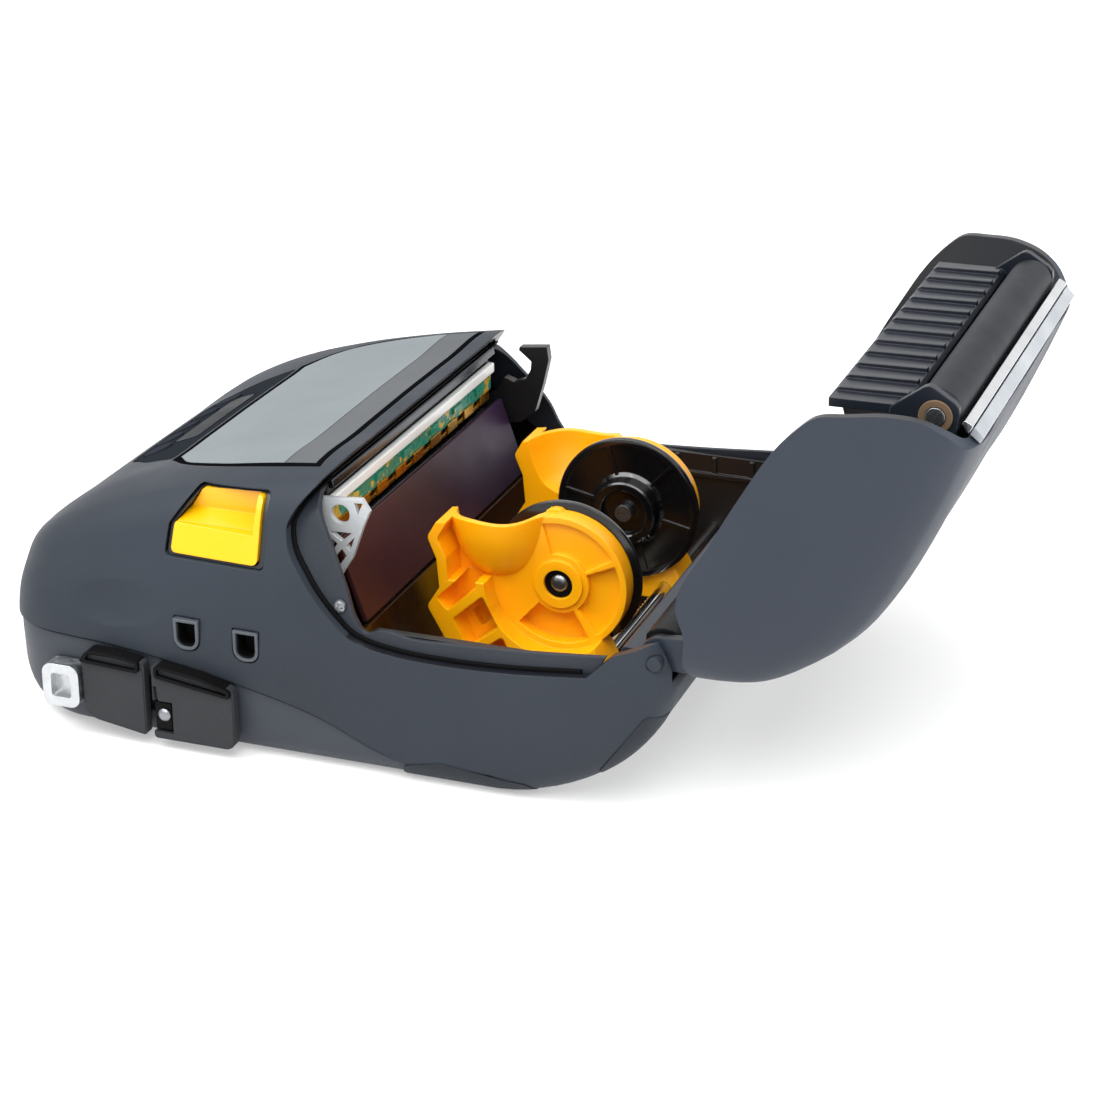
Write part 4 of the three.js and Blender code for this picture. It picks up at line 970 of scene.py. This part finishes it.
# Each node's material and the width of its finer edges in millimetres.
CAD_FINISH = {
    "belt_slot_1": (SLOT_RIM_LIT, 0.3), "belt_slot_2": (SLOT_RIM_LIT, 0.3), "port_block": (BLACK, 0.2),
    "usb_shell": (STEEL, 0.1), "door_anchor": (BLACK_RUBBER_AND_SHADE, 0.4), "anchor_screw": (STEEL, 0.15),
    "flange_screw": (STEEL, 0.2), "media_tub": (TUB, 0.3),
    "bay_wall_near": (BLACK, 0.3), "bay_wall_far": (BLACK, 0.3),
    "hinge_barrel": (BARREL, 0.5), "rear_rail": (RAIL, 0.3), "head_carrier": (BLACK, 0.5),
    "tear_bar": (DARK_STEEL, 0.3), "print_strip": (CERAMIC, 0.15), "head_board": (BOARD, 0.08),
    "contact_comb": (GOLD, 0.1), "film_plate": (FILM, 0.3), "head_bracket_near": (BRACKET, 0.25),
    "latch_shaft": (STEEL, 0.2), "catch_hook_far": (BLACK, 0.4), "guide_rod_1": (CHROME, 0.2),
    "guide_rod_2": (CHROME, 0.2), "guide_rack_near": (RACK, 0.1), "guide_rack_far": (RACK, 0.1),
    "guide_pinion": (RACK, 0.1), "paper_guide": (GUIDE_BLACK, 0.3), "platen_bearing_near": (TAN, 0.2),
    "platen_bearing_far": (TAN, 0.2), "platen_shaft": (STEEL, 0.2), "platen_roller": (ROLLER, 0.2),
    "peel_bar": (CHROME, 0.2), "clear_strip": (CLEAR, 0.2), "hinge_pin_near": (BODY, 0.2),
    "hinge_pin_far": (BODY, 0.2),
}
for name, (material, width) in CAD_FINISH.items():
    node = nodes[name]
    node.data.materials.clear()
    node.data.materials.append(material)
    node.data.polygons.foreach_set("use_smooth", [True] * len(node.data.polygons))
    weld = node.modifiers.new("weld", "WELD")
    weld.merge_threshold = WELD_DISTANCE
    flat = node.modifiers.new("flat_faces", "DECIMATE")
    flat.decimate_type = "DISSOLVE"
    flat.angle_limit = FLAT_ANGLE
    bevel = node.modifiers.new("edges", "BEVEL")
    bevel.width = width * METRES_PER_MM
    bevel.segments = 2
    bevel.limit_method = "ANGLE"
    bevel.angle_limit = EDGE_ANGLE
    node.modifiers.new("shading", "WEIGHTED_NORMAL")

# ------------------------------------------------------------------ stage, light, camera
def floor_material():
    """Matt pale paper with a slight glow of its own."""
    t = Tree("floor")
    cloud = t.spread(t.noise(3, 2), 0.0, 1.0)
    t.link(t.mix(cloud, rgb("#d0d0d0"), rgb("#d4d4d4")), t.shader.inputs["Base Color"])
    t.link(t.spread(t.noise(8, 3), 0.75, 0.9), t.shader.inputs["Roughness"])
    t.shader.inputs["Specular IOR Level"].default_value = 0.1
    t.shader.inputs["Emission Color"].default_value = (1.0, 1.0, 1.0, 1.0)
    t.shader.inputs["Emission Strength"].default_value = 0.35
    return t.mat


FLOOR_HALF, FLOOR_DROP = 30, 0.0002
corners = [(a * FLOOR_HALF, b * FLOOR_HALF, 0) for a, b in ((-1, -1), (1, -1), (1, 1), (-1, 1))]
floor_mesh = bpy.data.meshes.new("floor")
floor_mesh.from_pydata(corners, [], [(0, 1, 2, 3)])
floor_mesh.materials.append(floor_material())
floor = bpy.data.objects.new("floor", floor_mesh)
floor.location.z = -FLOOR_DROP
scene.collection.objects.link(floor)

world = bpy.data.worlds.new("studio")
world.use_nodes = True
background = world.node_tree.nodes["Background"]
background.inputs["Color"].default_value = (1.0, 1.0, 1.0, 1.0)
background.inputs["Strength"].default_value = 1.0
scene.world = world


def lamp(name, kind, energy, place, target, **values):
    data = bpy.data.lights.new(name, kind)
    data.energy = energy
    for key, value in values.items():
        setattr(data, key, value)
    ob = bpy.data.objects.new(name, data)
    ob.location = place
    ob.rotation_euler = (Vector(target) - Vector(place)).to_track_quat("-Z", "Y").to_euler()
    scene.collection.objects.link(ob)


BODY_CENTRE, COVER_CENTRE = (0.01, 0, 0.04), (0.10, 0, 0.06)
lamp("sky_soft", "SUN", 0.4, (-0.5, 0.3, 1.5), (0, 0, 0), angle=math.radians(60))
lamp("key", "AREA", 7.0, (0.20, -0.62, 0.88), BODY_CENTRE, size=0.7)
lamp("fill", "AREA", 6.5, (-0.42, -0.36, 0.86), BODY_CENTRE, size=0.6)
lamp("rim", "AREA", 5.0, (0.95, 0.05, 0.42), COVER_CENTRE, size=0.35)

camera_data = bpy.data.cameras.new("camera")
camera_data.sensor_width, camera_data.lens = 36, 89.02
camera = bpy.data.objects.new("camera", camera_data)
azimuth, elevation = math.radians(19.93), math.radians(22.90)
look = Vector((
    -math.sin(azimuth) * math.cos(elevation),
    math.cos(azimuth) * math.cos(elevation),
    -math.sin(elevation),
))
camera.location = (0.26825, -0.68681, 0.34148)
camera.rotation_euler = look.to_track_quat("-Z", "Y").to_euler()
camera_data.clip_start, camera_data.clip_end = 0.05, 100
scene.collection.objects.link(camera)
scene.camera = camera
scene.view_settings.view_transform = "Standard"

# The working solids aren't part of the scene.
for ob in list(scrap.objects):
    mesh = ob.data
    bpy.data.objects.remove(ob)
    bpy.data.meshes.remove(mesh)
bpy.data.collections.remove(scrap)
